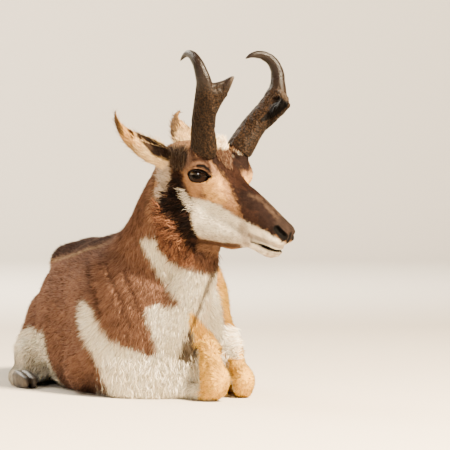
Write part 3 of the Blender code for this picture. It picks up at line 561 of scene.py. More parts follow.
MARKS = (
    Mark(
        "throat and chest",
        WHITE,
        ((142, 235), (155, 233), (160, 245), (168, 255), (176, 260), (188, 263), (199, 269), (226, 272), (250, 300),
         (250, 420), (118, 420), (112, 388), (107, 374), (101, 361), (94, 349), (88, 338), (84, 325), (83, 312),
         (84, 301), (87, 298), (92, 303), (97, 312), (105, 328), (118, 339), (135, 346), (150, 352),
         (158, 345), (154, 334), (150, 322), (147, 312), (149, 306), (156, 303), (166, 304), (178, 303),
         (180, 297), (174, 290), (165, 280), (156, 268), (150, 255), (146, 247), (141, 238)),
        (Flesh.NECK, Flesh.TORSO, *FORELEGS),
        softness=3.0,
        raggedness=2.6,
    ),
    Mark(
        "flank in shade",
        WHITE,
        ((10, 350), (20, 332), (34, 326), (44, 334), (48, 350), (50, 385), (5, 385)),
        (Flesh.TORSO, *HINDLEGS),
        raggedness=3.0,
        rear=0.6,
    ),
    # Painted shade: deep brown over the far side of the back, behind the lit shoulder edge.
    Mark(
        "far back",
        DEEP_BROWN,
        ((48, 261), (66, 256), (80, 252), (92, 248), (104, 245), (116, 240), (116, 226), (88, 222), (58, 238)),
        (Flesh.TORSO,),
        softness=3.0,
        strength=0.9,
        mirrored=False,
        rear=0.9,
    ),
    Mark(
        "near foreleg",
        BUFF,
        ((191, 308), (199, 312), (208, 326), (216, 336), (223, 346), (227, 360), (234, 400), (199, 400), (200, 385),
         (199, 352), (198, 345), (195, 335), (189, 322)),
        (Flesh.NECK, Flesh.TORSO, *FORELEGS),
        softness=1.5,
        raggedness=1.2,
        mirrored=False,
        rear=-0.15,
    ),
    Mark(
        "behind the near foreleg",
        WHITE,
        ((211, 283), (217, 295), (219, 305), (221, 320), (224, 345), (213, 335), (205, 322), (197, 312)),
        (Flesh.NECK, Flesh.TORSO, *FORELEGS),
        softness=1.5,
        raggedness=1.2,
        mirrored=False,
        rear=0.0,
    ),
    Mark(
        "far shoulder",
        BUFF,
        ((213, 262), (222, 268), (232, 284), (240, 295), (241, 320), (246, 345), (252, 360), (268, 400), (236, 400),
         (228, 360), (224, 345), (222, 320), (219, 305), (215, 293), (210, 276)),
        (Flesh.TORSO, Flesh.FORELEG_LEFT),
        softness=1.5,
        raggedness=1.2,
        mirrored=False,
        rear=0.02,
    ),
    # Painted shadow: grey-brown in the recess between the brisket and the near foreleg, where the knee's shadow falls.
    Mark(
        "recess",
        GREY_BROWN,
        ((189, 326), (195, 334), (199, 346), (197, 360), (187, 361), (180, 353), (183, 342)),
        (Flesh.NECK, Flesh.TORSO, *FORELEGS),
        softness=1.6,
        strength=0.88,
        mirrored=False,
        rear=0.0,
    ),
    Mark(
        "elbow's ruffle",
        WHITE,
        ((222, 324), (231, 326), (234, 345), (236, 358), (228, 358), (224, 345)),
        (Flesh.TORSO, Flesh.FORELEG_LEFT),
        softness=1.5,
        mirrored=False,
        rear=0.0,
    ),
    Mark(
        "curls behind the cheek",
        LIT_RUSSET,
        ((158, 206), (164, 212), (172, 222), (180, 232), (186, 246), (196, 254), (206, 262), (196, 269), (180, 263),
         (168, 256), (160, 246), (156, 226)),
        (Flesh.HEAD, Flesh.NECK),
        softness=3.0,
        strength=0.8,
    ),
    Mark(
        "nape's dark edge",
        DARK_RUSSET,
        ((148, 168), (156, 170), (158, 182), (156, 196), (148, 214), (136, 232), (122, 240), (118, 230), (134, 205)),
        (Flesh.HEAD, Flesh.NECK),
        softness=4.0,
        raggedness=4.0,
        strength=0.5,
    ),
    Mark(
        "under the chin",
        DARK_RUSSET,
        ((186, 240), (204, 240), (222, 246), (222, 262), (214, 270), (202, 264), (192, 254)),
        (Flesh.HEAD, Flesh.NECK),
        softness=3.0,
        raggedness=2.0,
        strength=0.6,
    ),
    Mark(
        "below the ear",
        GREY_WHITE,
        ((157, 160), (166, 158), (172, 161), (173, 178), (170, 188), (166, 196), (160, 205), (156, 196), (158, 184)),
        (Flesh.HEAD, Flesh.NECK),
        raggedness=2.5,
        strength=0.9,
    ),
    Mark(
        "brow",
        TAN_BROWN,
        ((180, 170), (184, 158), (190, 151), (200, 150), (206, 157), (212, 165), (220, 174), (226, 183), (216, 186),
         (208, 174), (196, 168), (186, 172)),
        HEAD_ONLY,
        softness=2.5,
        raggedness=2.5,
    ),
    Mark(
        "horn's root",
        DEEP_BROWN,
        ((190, 148), (214, 148), (214, 158), (207, 160), (199, 156), (191, 155)),
        HEAD_ONLY,
        softness=2.0,
        raggedness=2.5,
        strength=0.8,
    ),
    Mark(
        "ear's front",
        GREY_BROWN,
        ((168, 145), (184, 145), (188, 151), (186, 160), (182, 168), (175, 172), (169, 164)),
        (Flesh.HEAD, *EARS),
        softness=2.5,
        raggedness=3.0,
        strength=0.9,
    ),
    Mark(
        "temple",
        DEEP_BROWN,
        ((171, 166), (178, 168), (183, 172), (184, 180), (188, 190), (191, 198), (184, 194), (176, 186), (171, 184)),
        HEAD_ONLY,
        softness=2.5,
        raggedness=2.0,
    ),
    Mark(
        "under the eye",
        TAN,
        ((184, 181), (194, 184), (204, 184), (207, 190), (206, 198), (196, 198), (189, 196)),
        HEAD_ONLY,
        softness=3.0,
        strength=0.9,
    ),
    Mark(
        "before the eye",
        CREAM,
        ((204, 182), (210, 176), (218, 175), (224, 181), (229, 188), (231, 196), (227, 204), (214, 204), (206, 200),
         (204, 190)),
        HEAD_ONLY,
        softness=4.0,
    ),
    Mark(
        "beside the mask",
        TAN,
        ((222, 180), (231, 189), (235, 197), (239, 205), (241, 217), (235, 216), (229, 210), (227, 200)),
        HEAD_ONLY,
        softness=3.5,
        raggedness=3.0,
        strength=0.75,
    ),
    Mark(
        "cheek",
        WHITE,
        ((190, 197), (198, 199), (206, 201), (214, 203), (222, 207), (229, 212), (236, 217), (243, 220), (250, 222),
         (256, 226), (262, 229), (268, 232), (273, 235), (279, 239), (285, 243), (330, 246), (330, 300), (262, 300),
         (246, 252), (240, 245), (220, 242), (205, 239), (197, 236), (194, 230), (193, 222), (191, 212), (192, 205)),
        HEAD_ONLY,
        softness=2.4,
        raggedness=1.3,
    ),
    Mark(
        "under the jaw",
        TAN_BROWN,
        ((186, 244), (200, 243), (220, 246), (240, 249), (248, 256), (262, 330), (150, 330), (176, 262)),
        HEAD_ONLY,
        softness=2.0,
        strength=0.7,
    ),
    # Painted shade: tan-brown on the chin's lower side.
    Mark(
        "chin's underside",
        TAN_BROWN,
        ((244, 246), (254, 250), (264, 253), (275, 253), (281, 255), (281, 270), (240, 270)),
        HEAD_ONLY,
        softness=4.0,
        raggedness=3.0,
        strength=0.7,
    ),
    Mark(
        "jaw's shade",
        TAN_BROWN,
        ((202, 231), (216, 235), (230, 236), (242, 229), (248, 240), (250, 250), (238, 248), (220, 245), (203, 241)),
        HEAD_ONLY,
        softness=5.0,
        raggedness=4.0,
        strength=0.42,
    ),
    Mark(
        "face mask",
        UMBER,
        ((200, 155), (206, 159), (211, 164), (215, 168), (220, 173), (225, 178), (229, 183), (232, 189), (235, 196),
         (238, 203), (240, 211), (241, 218), (247, 221), (253, 224), (258, 228), (263, 230), (268, 232), (273, 235),
         (279, 239), (292, 244), (330, 240), (330, 120), (236, 138), (214, 146), (204, 150)),
        HEAD_ONLY,
        softness=2.2,
        raggedness=2.6,
    ),
    Mark(
        "mask's speckled edge",
        DARK_RUSSET,
        ((233, 186), (238, 194), (244, 206), (254, 214), (262, 224), (252, 224), (241, 217), (238, 205)),
        HEAD_ONLY,
        softness=4.0,
        raggedness=5.0,
        strength=0.4,
    ),
    Mark(
        "forehead",
        DARK_RUSSET,
        ((219, 146), (232, 146), (228, 158), (234, 170), (240, 180), (247, 189), (238, 190), (229, 181), (223, 171),
         (219, 160)),
        HEAD_ONLY,
        softness=3.5,
        raggedness=3.5,
        strength=0.8,
    ),
    Mark(
        "forehead's middle",
        MAROON,
        ((230, 148), (243, 152), (240, 172), (250, 182), (268, 197), (262, 199), (248, 189), (236, 176), (229, 160)),
        HEAD_ONLY,
        softness=3.0,
        raggedness=3.0,
        strength=0.8,
    ),
    Mark(
        "tuft between the horns",
        WHITE,
        ((212, 134), (238, 134), (243, 146), (236, 152), (226, 150), (216, 153), (213, 148)),
        HEAD_ONLY,
        softness=2.5,
        raggedness=3.0,
    ),
    # Painted highlight: a greyish streak along the bridge of the nose, lighter than the dark mask.
    Mark(
        "bridge",
        GREY_BROWN,
        ((248, 193), (258, 196), (268, 204), (276, 213), (284, 221), (279, 223), (270, 212), (260, 202), (249, 197)),
        HEAD_ONLY,
        softness=1.6,
        raggedness=1.5,
        strength=0.75,
    ),
    Mark(
        "nose",
        NOSE_GREY,
        ((274, 226), (279, 216), (290, 214), (330, 214), (330, 246), (292, 245), (285, 241), (276, 236)),
        HEAD_ONLY,
        softness=2.5,
        raggedness=1.0,
    ),
    Mark(
        "cheek patch",
        SOOT,
        ((174, 178), (181, 178), (183, 186), (187, 192), (191, 199), (193, 206), (191, 214), (192, 222), (195, 230),
         (200, 239), (196, 250), (188, 243), (183, 232), (178, 222), (170, 213), (163, 208), (161, 200), (168, 194),
         (170, 185)),
        (Flesh.HEAD, Flesh.NECK),
        softness=1.4,
        raggedness=1.3,
    ),
    Mark(
        "ear's dark lining",
        GREY_BROWN,
        ((135, 130), (141, 132), (150, 137), (157, 142), (161, 145), (170, 146), (180, 146), (184, 150), (181, 158),
         (156, 157), (150, 152), (145, 146), (138, 138)),
        EARS,
        softness=0.8,
        raggedness=0.5,
        mirrored=False,
    ),
    Mark(
        "ear's black base",
        SOOT,
        ((150, 142), (160, 143), (172, 145), (181, 149), (177, 158), (162, 160), (154, 156)),
        (Flesh.HEAD, *EARS),
        softness=2.5,
        raggedness=1.5,
        mirrored=False,
        strength=0.9,
    ),
    Mark(
        "ear's shaded edge",
        GREY_BROWN,
        ((112, 116), (118, 122), (124, 134), (132, 146), (142, 157), (154, 166), (158, 176), (140, 172), (112, 130)),
        EARS,
        softness=2.5,
        raggedness=1.5,
        mirrored=False,
        strength=0.5,
    ),
    Mark(
        "far ear",
        CREAM,
        ((168, 100), (195, 100), (195, 140), (168, 140)),
        EARS,
        mirrored=False,
        strength=0.4,
    ),
    Mark(
        "far ear's edge",
        GREY_BROWN,
        ((168, 130), (170, 118), (175, 108), (184, 108), (186, 116), (180, 122), (177, 130), (176, 142), (168, 148)),
        EARS,
        softness=2.5,
        raggedness=2.0,
        mirrored=False,
        strength=0.85,
    ),
)

LINES = (
    Line("lit shoulder edge", PALE_BUFF, ((115, 242), (104, 247), (92, 250), (80, 254), (66, 258), (52, 261)),
         (Flesh.TORSO,), 1.4, strength=0.20, mirrored=False, rear=0.9),
    Line("keel's shade", GREY_BROWN, ((217, 258), (210, 275), (203, 296), (196, 314), (190, 330)),
         (Flesh.NECK, Flesh.TORSO), 2.2, strength=0.8, mirrored=False, rear=0.02),
    Line("ear's brown streak", MAROON, ((115, 110), (117, 117), (123, 122), (128, 127), (131, 131), (134, 138)),
         EARS, 2.2, mirrored=False),
    Line("jaw's edge", DARK_RUSSET, ((192, 240), (200, 241), (212, 243), (226, 245), (240, 246)), HEAD_ONLY, 2.6,
         strength=0.85),
    # Painted shade in the fold at the mouth's corner.
    Line("mouth's corner", TAN_BROWN, ((243, 226), (246, 234), (248, 242)), HEAD_ONLY, 5.5, strength=0.5),
    Line("upper lip's shade", TAN_BROWN, ((250, 235), (260, 239), (270, 243), (280, 247), (288, 246)), HEAD_ONLY,
         2.6, strength=0.6),
    Line("lower lip's shade", GREY_BROWN, ((252, 241), (262, 246), (272, 251), (281, 253)), HEAD_ONLY, 2.8,
         strength=0.6),
    # Painted shade in the fold of the brow above the eye.
    Line("brow's fold", DEEP_BROWN, ((193, 160), (199, 159), (205, 161), (210, 167)), HEAD_ONLY, 2.0, strength=0.8),
    Line("upper lid's line", INK, ((198, 166), (204, 166), (209, 170), (211, 177)), HEAD_ONLY, 2.4),
    Line("lip's line", INK, ((292, 232), (289, 238), (287, 244)), HEAD_ONLY, 1.1),
    Line("dark spot", TAN_BROWN, ((201, 195), (206, 196)), HEAD_ONLY, 2.0, strength=0.8),
    Line("below the temple", GREY_BROWN, ((184, 184), (187, 191), (191, 198)), HEAD_ONLY, 1.6, strength=0.8),
)

FOLDS = (
    # paths in the photo's pixels, each with its depth in metres
    (((91, 260), (95, 280), (100, 295), (104, 312)), 0.0024),
    (((107, 262), (112, 275), (117, 288), (123, 298), (125, 312)), 0.0026),
    (((126, 270), (134, 290), (140, 306)), 0.0016),
    (((206, 366), (202, 376), (200, 388)), 0.0030),
    (((217, 258), (210, 275), (203, 296), (196, 314), (190, 330), (192, 346)), 0.0065),
)


@dataclass(frozen=True)
class Markings:
    """The colours of skin and coat, worked out from a place and the way that it faces."""

    head: HeadFrame
    view: Viewpoint
    mirror: Symmetry

    def tints(self, points: np.ndarray, normals: np.ndarray, shares: np.ndarray) -> np.ndarray:
        """Gives the coat's linear colour at each place.

        Args:
            points: Places in metres, one a row.
            normals: The way that the surface faces at each place.
            shares: For each point, its share in each of the flesh solids.

        Returns:
            One colour for each place.
        """
        matched = self.view.spots(self.mirror.to_right(points, shares))
        own = self.view.spots(points)
        facing = eased(normals @ self.view.toward, -0.15, 0.15)
        drawn = points - self.head.shift
        colours = np.tile(linear(RUSSET), (len(points), 1))
        colours += (linear(TAN) - colours) * shares[:, FLESH.index(Flesh.HEAD)][:, None]
        fray = ripples(points, 0.006, 3) + 0.6 * ripples(points, 0.0025, 5)

        def lay(colour: tuple[float, float, float], amount: np.ndarray) -> None:
            """Lays a colour over what is there."""
            colours[:] += (linear(colour) - colours) * np.clip(amount, 0, 1)[:, None]

        def share_of(parts: tuple[Flesh, ...]) -> np.ndarray:
            """Adds up the shares of some solids."""
            return shares[:, [FLESH.index(part) for part in parts]].sum(1)

        def within(mirrored: bool, rear: float, parts: tuple[Flesh, ...]) -> np.ndarray:
            """Gives where a mark may lie."""
            return share_of(parts) * (drawn[:, 1] < rear) * (1.0 if mirrored else facing)

        trunk = share_of((Flesh.TORSO,))
        lay(DARK_RUSSET, 0.45 * eased(drawn[:, 2] + 0.01 * fray, 0.22, 0.31) * trunk)
        belly = 1 - eased(drawn[:, 2] + 0.006 * fray, 0.108, 0.120)
        belly = belly * eased(drawn[:, 1] + 0.005 * fray, 0.06, 0.08)
        belly = belly * (1 - eased(drawn[:, 1] + 0.005 * fray, 0.21, 0.24))
        lay(WHITE, belly * trunk)
        lay(BUFF, 0.9 * share_of((*FORELEGS, *HINDLEGS)))
        from_tail = np.linalg.norm((drawn - np.array([0.064, 0.47, 0.19])) * np.array([1.0, 0.9, 0.9]), axis=1)
        disc = 1 - eased(from_tail + 0.006 * fray, 0.135, 0.15)
        lay(WHITE, disc * share_of((Flesh.TORSO, Flesh.TAIL)))
        along_tail = eased(drawn[:, 2], 0.12, 0.20) * (normals[:, 1] > 0.0)
        lay(TAN_BROWN, 0.8 * along_tail * share_of((Flesh.TAIL,)))
        self.lay_ears(points, normals, fray, lay, share_of)
        for mark in MARKS:
            depth = depth_inside(matched if mark.mirrored else own, np.array(mark.outline, float))
            amount = eased(depth + mark.raggedness * fray, -mark.softness, mark.softness)
            lay(mark.colour, mark.strength * amount * within(mark.mirrored, mark.rear, mark.parts))
        for line in LINES:
            away = distance_to_path(matched if line.mirrored else own, np.array(line.path, float))
            amount = 1 - eased(away + 0.4 * fray, 0.4 * line.width, 1.2 * line.width)
            lay(line.colour, line.strength * amount * within(line.mirrored, line.rear, line.parts))
        # Painted shade: darkens the coat along the first three folds.
        for path, _ in FOLDS[:3]:
            away = distance_to_path(own, np.array(path, float))
            lay(DARK_RUSSET, 0.7 * (1 - eased(away, 0.8, 3.4)) * within(False, 0.10, (Flesh.NECK, Flesh.TORSO)))
        self.lay_head(points, fray, lay, share_of)
        darkness = 1 - colours.mean(1) ** 0.45
        crinkle = 0.10 + 0.45 * darkness * (1 - 0.5 * share_of(HEAD_ONLY))
        tone = 1 + 0.12 * ripples(points, 0.03, 11) + crinkle * ripples(points, 0.0042, 13)
        return np.clip(colours * tone[:, None], 0.002, 1)

    def lay_ears(
        self,
        points: np.ndarray,
        normals: np.ndarray,
        fray: np.ndarray,
        lay: Callable[[tuple[float, float, float], np.ndarray], None],
        share_of: Callable[[tuple[Flesh, ...]], np.ndarray],
    ) -> None:
        """Colours the ears: pale outside, dark in the cup, with a brown tip and rim.

        Args:
            points: Places in metres.
            normals: The way that the surface faces at each place.
            fray: The ragged edge's noise.
            lay: Lays a colour.
            share_of: Adds up the shares of some solids.
        """
        for side, ear in zip(Side, EARS):
            cup = EarCup(self.head, side)
            share, inward = cup.measures(points, normals)
            owned = share_of((ear,))
            lay(CREAM, owned)
            lay(PALE_BUFF, owned * (1 - eased(share + 0.08 * fray, 0.35, 0.6)))
            lay(MAROON, 0.85 * owned * eased(share + 0.06 * fray, 0.62, 0.86) * (1 - 0.6 * inward))
            if side is Side.LEFT:
                lay(CREAM, owned * inward)
                lay(GREY_BROWN, 0.6 * owned * inward * (1 - eased(share + 0.08 * fray, 0.25, 0.50)))

    def lay_head(
        self,
        points: np.ndarray,
        fray: np.ndarray,
        lay: Callable[[tuple[float, float, float], np.ndarray], None],
        share_of: Callable[[tuple[Flesh, ...]], np.ndarray],
    ) -> None:
        """Colours the crown, the lids, the nostrils and the mouth.

        Args:
            points: Places in metres.
            fray: The ragged edge's noise.
            lay: Lays a colour.
            share_of: Adds up the shares of some solids.
        """
        owned = share_of(HEAD_ONLY)
        reach = self.head.measures(points)
        crown = (1 - eased(np.abs(reach[:, 1]) + 0.004 * fray, 0.034, 0.046)) * eased(reach[:, 0], 0.03, 0.05)
        crown = crown * (1 - eased(reach[:, 0] + 0.005 * fray, 0.105, 0.120)) * eased(reach[:, 2] + 0.003 * fray, 0.066, 0.078)
        lay(CREAM, crown * owned)
        for side in Side:
            lids = Lids(self.head, side)
            local = lids.local(points)
            away = -lids.inside(local)
            near = owned * (np.linalg.norm(local, axis=1) < 0.05) * (local[:, 2] > -0.004)
            above = eased(local[:, 1], -0.001, 0.002)
            lay(TAN_BROWN, 0.5 * near * above * (1 - eased(away, 0.006, 0.010)))
            lay(TAN, 0.6 * near * (1 - above) * (1 - eased(away, 0.0045, 0.0060)))
            thick = 0.0019 + 0.0022 * above * eased(local[:, 0], -0.016, 0.004)
            lay(INK, near * (1 - eased(away + 0.0003 * fray, thick, thick + 0.0008)))
            corner = distance_to_path(local[:, :2], np.array([[0.020, 0.0], [0.029, 0.002]]))
            lay(INK, near * (1 - eased(corner, 0.0014, 0.0026)))
        muzzle = Muzzle(self.head)
        lay(INK, owned * (1 - eased(muzzle.from_nostril(points), 0.0062, 0.0080)))
        gape = 0.0006 + 0.0018 * eased(reach[:, 0], 0.262, 0.282)
        in_mouth = owned * (1 - eased(muzzle.from_mouth(points), gape, gape + 0.0009))
        lay(INK, in_mouth)
        specks = eased(ripples(points, 0.0016, 61), 0.5, 0.9) * eased(reach[:, 0], 0.278, 0.284)
        lay(GREY_WHITE, 0.7 * in_mouth * specks * (1 - eased(reach[:, 0], 0.302, 0.308)))


# Shared shader groups and finishes


def group_output(tree: bpy.types.NodeTree, name: str, kind: str) -> None:
    """Adds one output socket to a shader group."""
    tree.interface.new_socket(name=name, in_out="OUTPUT", socket_type=kind)


def group_input(tree: bpy.types.NodeTree, name: str, start: float) -> None:
    """Adds one number input socket to a shader group."""
    socket = tree.interface.new_socket(name=name, in_out="INPUT", socket_type="NodeSocketFloat")
    socket.default_value = start


def grain_group() -> bpy.types.NodeTree:
    """Makes the group that gives fine grain as a height and a mottling mask."""
    name = "Fine grain"
    if name in bpy.data.node_groups:
        return bpy.data.node_groups[name]
    tree = bpy.data.node_groups.new(name, "ShaderNodeTree")
    group_input(tree, "Scale", 400.0)
    group_input(tree, "Mottle scale", 40.0)
    group_output(tree, "Height", "NodeSocketFloat")
    group_output(tree, "Mottle", "NodeSocketFloat")
    start = tree.nodes.new("NodeGroupInput")
    end = tree.nodes.new("NodeGroupOutput")
    place = tree.nodes.new("ShaderNodeTexCoord")
    fine = tree.nodes.new("ShaderNodeTexNoise")
    fine.inputs["Detail"].default_value = 4.0
    mottle = tree.nodes.new("ShaderNodeTexNoise")
    mottle.inputs["Detail"].default_value = 5.0
    for noise, socket, result in ((fine, "Scale", "Height"), (mottle, "Mottle scale", "Mottle")):
        tree.links.new(place.outputs["Object"], noise.inputs["Vector"])
        tree.links.new(start.outputs[socket], noise.inputs["Scale"])
        tree.links.new(noise.outputs["Fac"], end.inputs[result])
    return tree


def new_material(name: str) -> tuple[bpy.types.Material, bpy.types.Node]:
    """Makes a material and returns it with its Principled shader."""
    made = bpy.data.materials.new(name)
    made.use_nodes = True
    return made, made.node_tree.nodes["Principled BSDF"]


def add_grain(made: bpy.types.Material, scale: float, mottle: float, bump: float, reach: float) -> bpy.types.Node:
    """Places the grain group in a material and bumps the surface with it.

    Args:
        made: The material.
        scale: How fine the grain is.
        mottle: How fine the mottling is.
        bump: The bump's strength.
        reach: The bump's height in metres.

    Returns:
        The group's node.
    """
    tree = made.node_tree
    grain = tree.nodes.new("ShaderNodeGroup")
    grain.node_tree = grain_group()
    grain.inputs["Scale"].default_value = scale
    grain.inputs["Mottle scale"].default_value = mottle
    relief = tree.nodes.new("ShaderNodeBump")
    relief.inputs["Strength"].default_value = bump
    relief.inputs["Distance"].default_value = reach
    tree.links.new(grain.outputs["Height"], relief.inputs["Height"])
    tree.links.new(relief.outputs["Normal"], tree.nodes["Principled BSDF"].inputs["Normal"])
    return grain


@dataclass(frozen=True)
class TintFinish:
    """A finish whose colour is stored on the mesh, mottled a little."""

    name: str
    layer: str = TINT
    roughness: float = 0.78
    shine: float = 0.04
    mottling: float = 0.16
    grain_scale: float = 700.0
    mottle_scale: float = 60.0
    bump: float = 0.5
    reach: float = 0.0008

    def build(self) -> bpy.types.Material:
        """Makes the material."""
        made, shader = new_material(self.name)
        tree = made.node_tree
        shader.inputs["Roughness"].default_value = self.roughness
        shader.inputs["Specular IOR Level"].default_value = self.shine
        grain = add_grain(made, self.grain_scale, self.mottle_scale, self.bump, self.reach)
        tint = tree.nodes.new("ShaderNodeAttribute")
        tint.attribute_name = self.layer
        span = tree.nodes.new("ShaderNodeMapRange")
        span.inputs["To Min"].default_value = 1.0 - self.mottling
        span.inputs["To Max"].default_value = 1.0 + self.mottling
        span.inputs["From Min"].default_value = 0.3
        span.inputs["From Max"].default_value = 0.7
        mix = tree.nodes.new("ShaderNodeVectorMath")
        mix.operation = "SCALE"
        tree.links.new(grain.outputs["Mottle"], span.inputs["Value"])
        tree.links.new(tint.outputs["Color"], mix.inputs[0])
        tree.links.new(span.outputs["Result"], mix.inputs["Scale"])
        tree.links.new(mix.outputs["Vector"], shader.inputs["Base Color"])
        return made


@dataclass(frozen=True)
class HornFinish:
    """Dark horn, rough and flecked below, smooth and glossy towards the tip."""

    name: str
    dull_shine: float = 0.06
    wet_shine: float = 0.24
    deep: tuple[float, float, float] = (11, 7, 5)
    worn: tuple[float, float, float] = (48, 34, 23)
    tip_tone: tuple[float, float, float] = (20, 13, 10)
    shade_tone: tuple[float, float, float] = (4, 3, 3)
    cap_tone: tuple[float, float, float] = (50, 41, 34)

    def build(self) -> bpy.types.Material:
        """Makes the material."""
        made, shader = new_material(self.name)
        tree = made.node_tree
        grain = add_grain(made, 900.0, 420.0, 0.6, 0.0012)
        share = tree.nodes.new("ShaderNodeAttribute")
        share.attribute_name = HORN_SHARE
        flecks = tree.nodes.new("ShaderNodeValToRGB")
        flecks.color_ramp.elements[0].position = 0.46
        flecks.color_ramp.elements[0].color = (*linear(self.deep), 1)
        flecks.color_ramp.elements[1].position = 0.64
        flecks.color_ramp.elements[1].color = (*linear(self.worn), 1)
        masks = tree.nodes.new("ShaderNodeSeparateColor")
        tree.links.new(share.outputs["Color"], masks.inputs["Color"])
        tree.links.new(grain.outputs["Mottle"], flecks.inputs["Fac"])
        colour = flecks.outputs["Color"]
        layers = (("Red", self.tip_tone), ("Green", self.shade_tone), ("Blue", self.cap_tone))
        for mask, tone in layers:
            mix = tree.nodes.new("ShaderNodeMix")
            mix.data_type = "RGBA"
            mix.inputs["B"].default_value = (*linear(tone), 1)
            tree.links.new(masks.outputs[mask], mix.inputs["Factor"])
            tree.links.new(colour, mix.inputs["A"])
            colour = mix.outputs["Result"]
        gloss = tree.nodes.new("ShaderNodeMapRange")
        gloss.inputs["To Min"].default_value = 0.50
        gloss.inputs["To Max"].default_value = 0.26
        wet = tree.nodes.new("ShaderNodeMapRange")
        wet.inputs["To Min"].default_value = self.dull_shine
        wet.inputs["To Max"].default_value = self.wet_shine
        tree.links.new(masks.outputs["Red"], wet.inputs["Value"])
        shader.inputs["Specular IOR Level"].default_value = self.dull_shine
        tree.links.new(wet.outputs["Result"], shader.inputs["Specular IOR Level"])
        tree.links.new(colour, shader.inputs["Base Color"])
        tree.links.new(masks.outputs["Red"], gloss.inputs["Value"])
        tree.links.new(gloss.outputs["Result"], shader.inputs["Roughness"])
        return made


@dataclass(frozen=True)
class HoofFinish:
    """Near-black hoof horn with a dusty mottle."""

    name: str
    dark: tuple[float, float, float] = (34, 28, 25)
    dusty: tuple[float, float, float] = (92, 80, 68)

    def build(self) -> bpy.types.Material:
        """Makes the material."""
        made, shader = new_material(self.name)
        tree = made.node_tree
        shader.inputs["Roughness"].default_value = 0.5
        grain = add_grain(made, 500.0, 90.0, 0.4, 0.0008)
        ramp = tree.nodes.new("ShaderNodeValToRGB")
        ramp.color_ramp.elements[0].position = 0.35
        ramp.color_ramp.elements[0].color = (*linear(self.dark), 1)
        ramp.color_ramp.elements[1].position = 0.75
        ramp.color_ramp.elements[1].color = (*linear(self.dusty), 1)
        tree.links.new(grain.outputs["Mottle"], ramp.inputs["Fac"])
        tree.links.new(ramp.outputs["Color"], shader.inputs["Base Color"])
        return made


@dataclass(frozen=True)
class GlobeFinish:
    """The wet eye, whose colours are stored on its mesh."""

    name: str

    def build(self) -> bpy.types.Material:
        """Makes the material."""
        made, shader = new_material(self.name)
        tree = made.node_tree
        shader.inputs["Roughness"].default_value = 0.04
        wetness = tree.nodes.new("ShaderNodeAttribute")
        wetness.attribute_name = GLOBE_WET
        shader.inputs["Specular IOR Level"].default_value = 0.25
        tree.links.new(wetness.outputs["Fac"], shader.inputs["Specular IOR Level"])
        tint = tree.nodes.new("ShaderNodeAttribute")
        tint.attribute_name = GLOBE_TINT
        tree.links.new(tint.outputs["Color"], shader.inputs["Base Color"])
        return made


@dataclass(frozen=True)
class FloorFinish:
    """The pale, plain studio floor."""

    name: str
    tone: tuple[float, float, float] = (208, 200, 188)

    def build(self) -> bpy.types.Material:
        """Makes the material."""
        made, shader = new_material(self.name)
        shader.inputs["Base Color"].default_value = (*linear(self.tone), 1)
        shader.inputs["Roughness"].default_value = 0.9
        shader.inputs["Specular IOR Level"].default_value = 0.1
        return made


# The skin


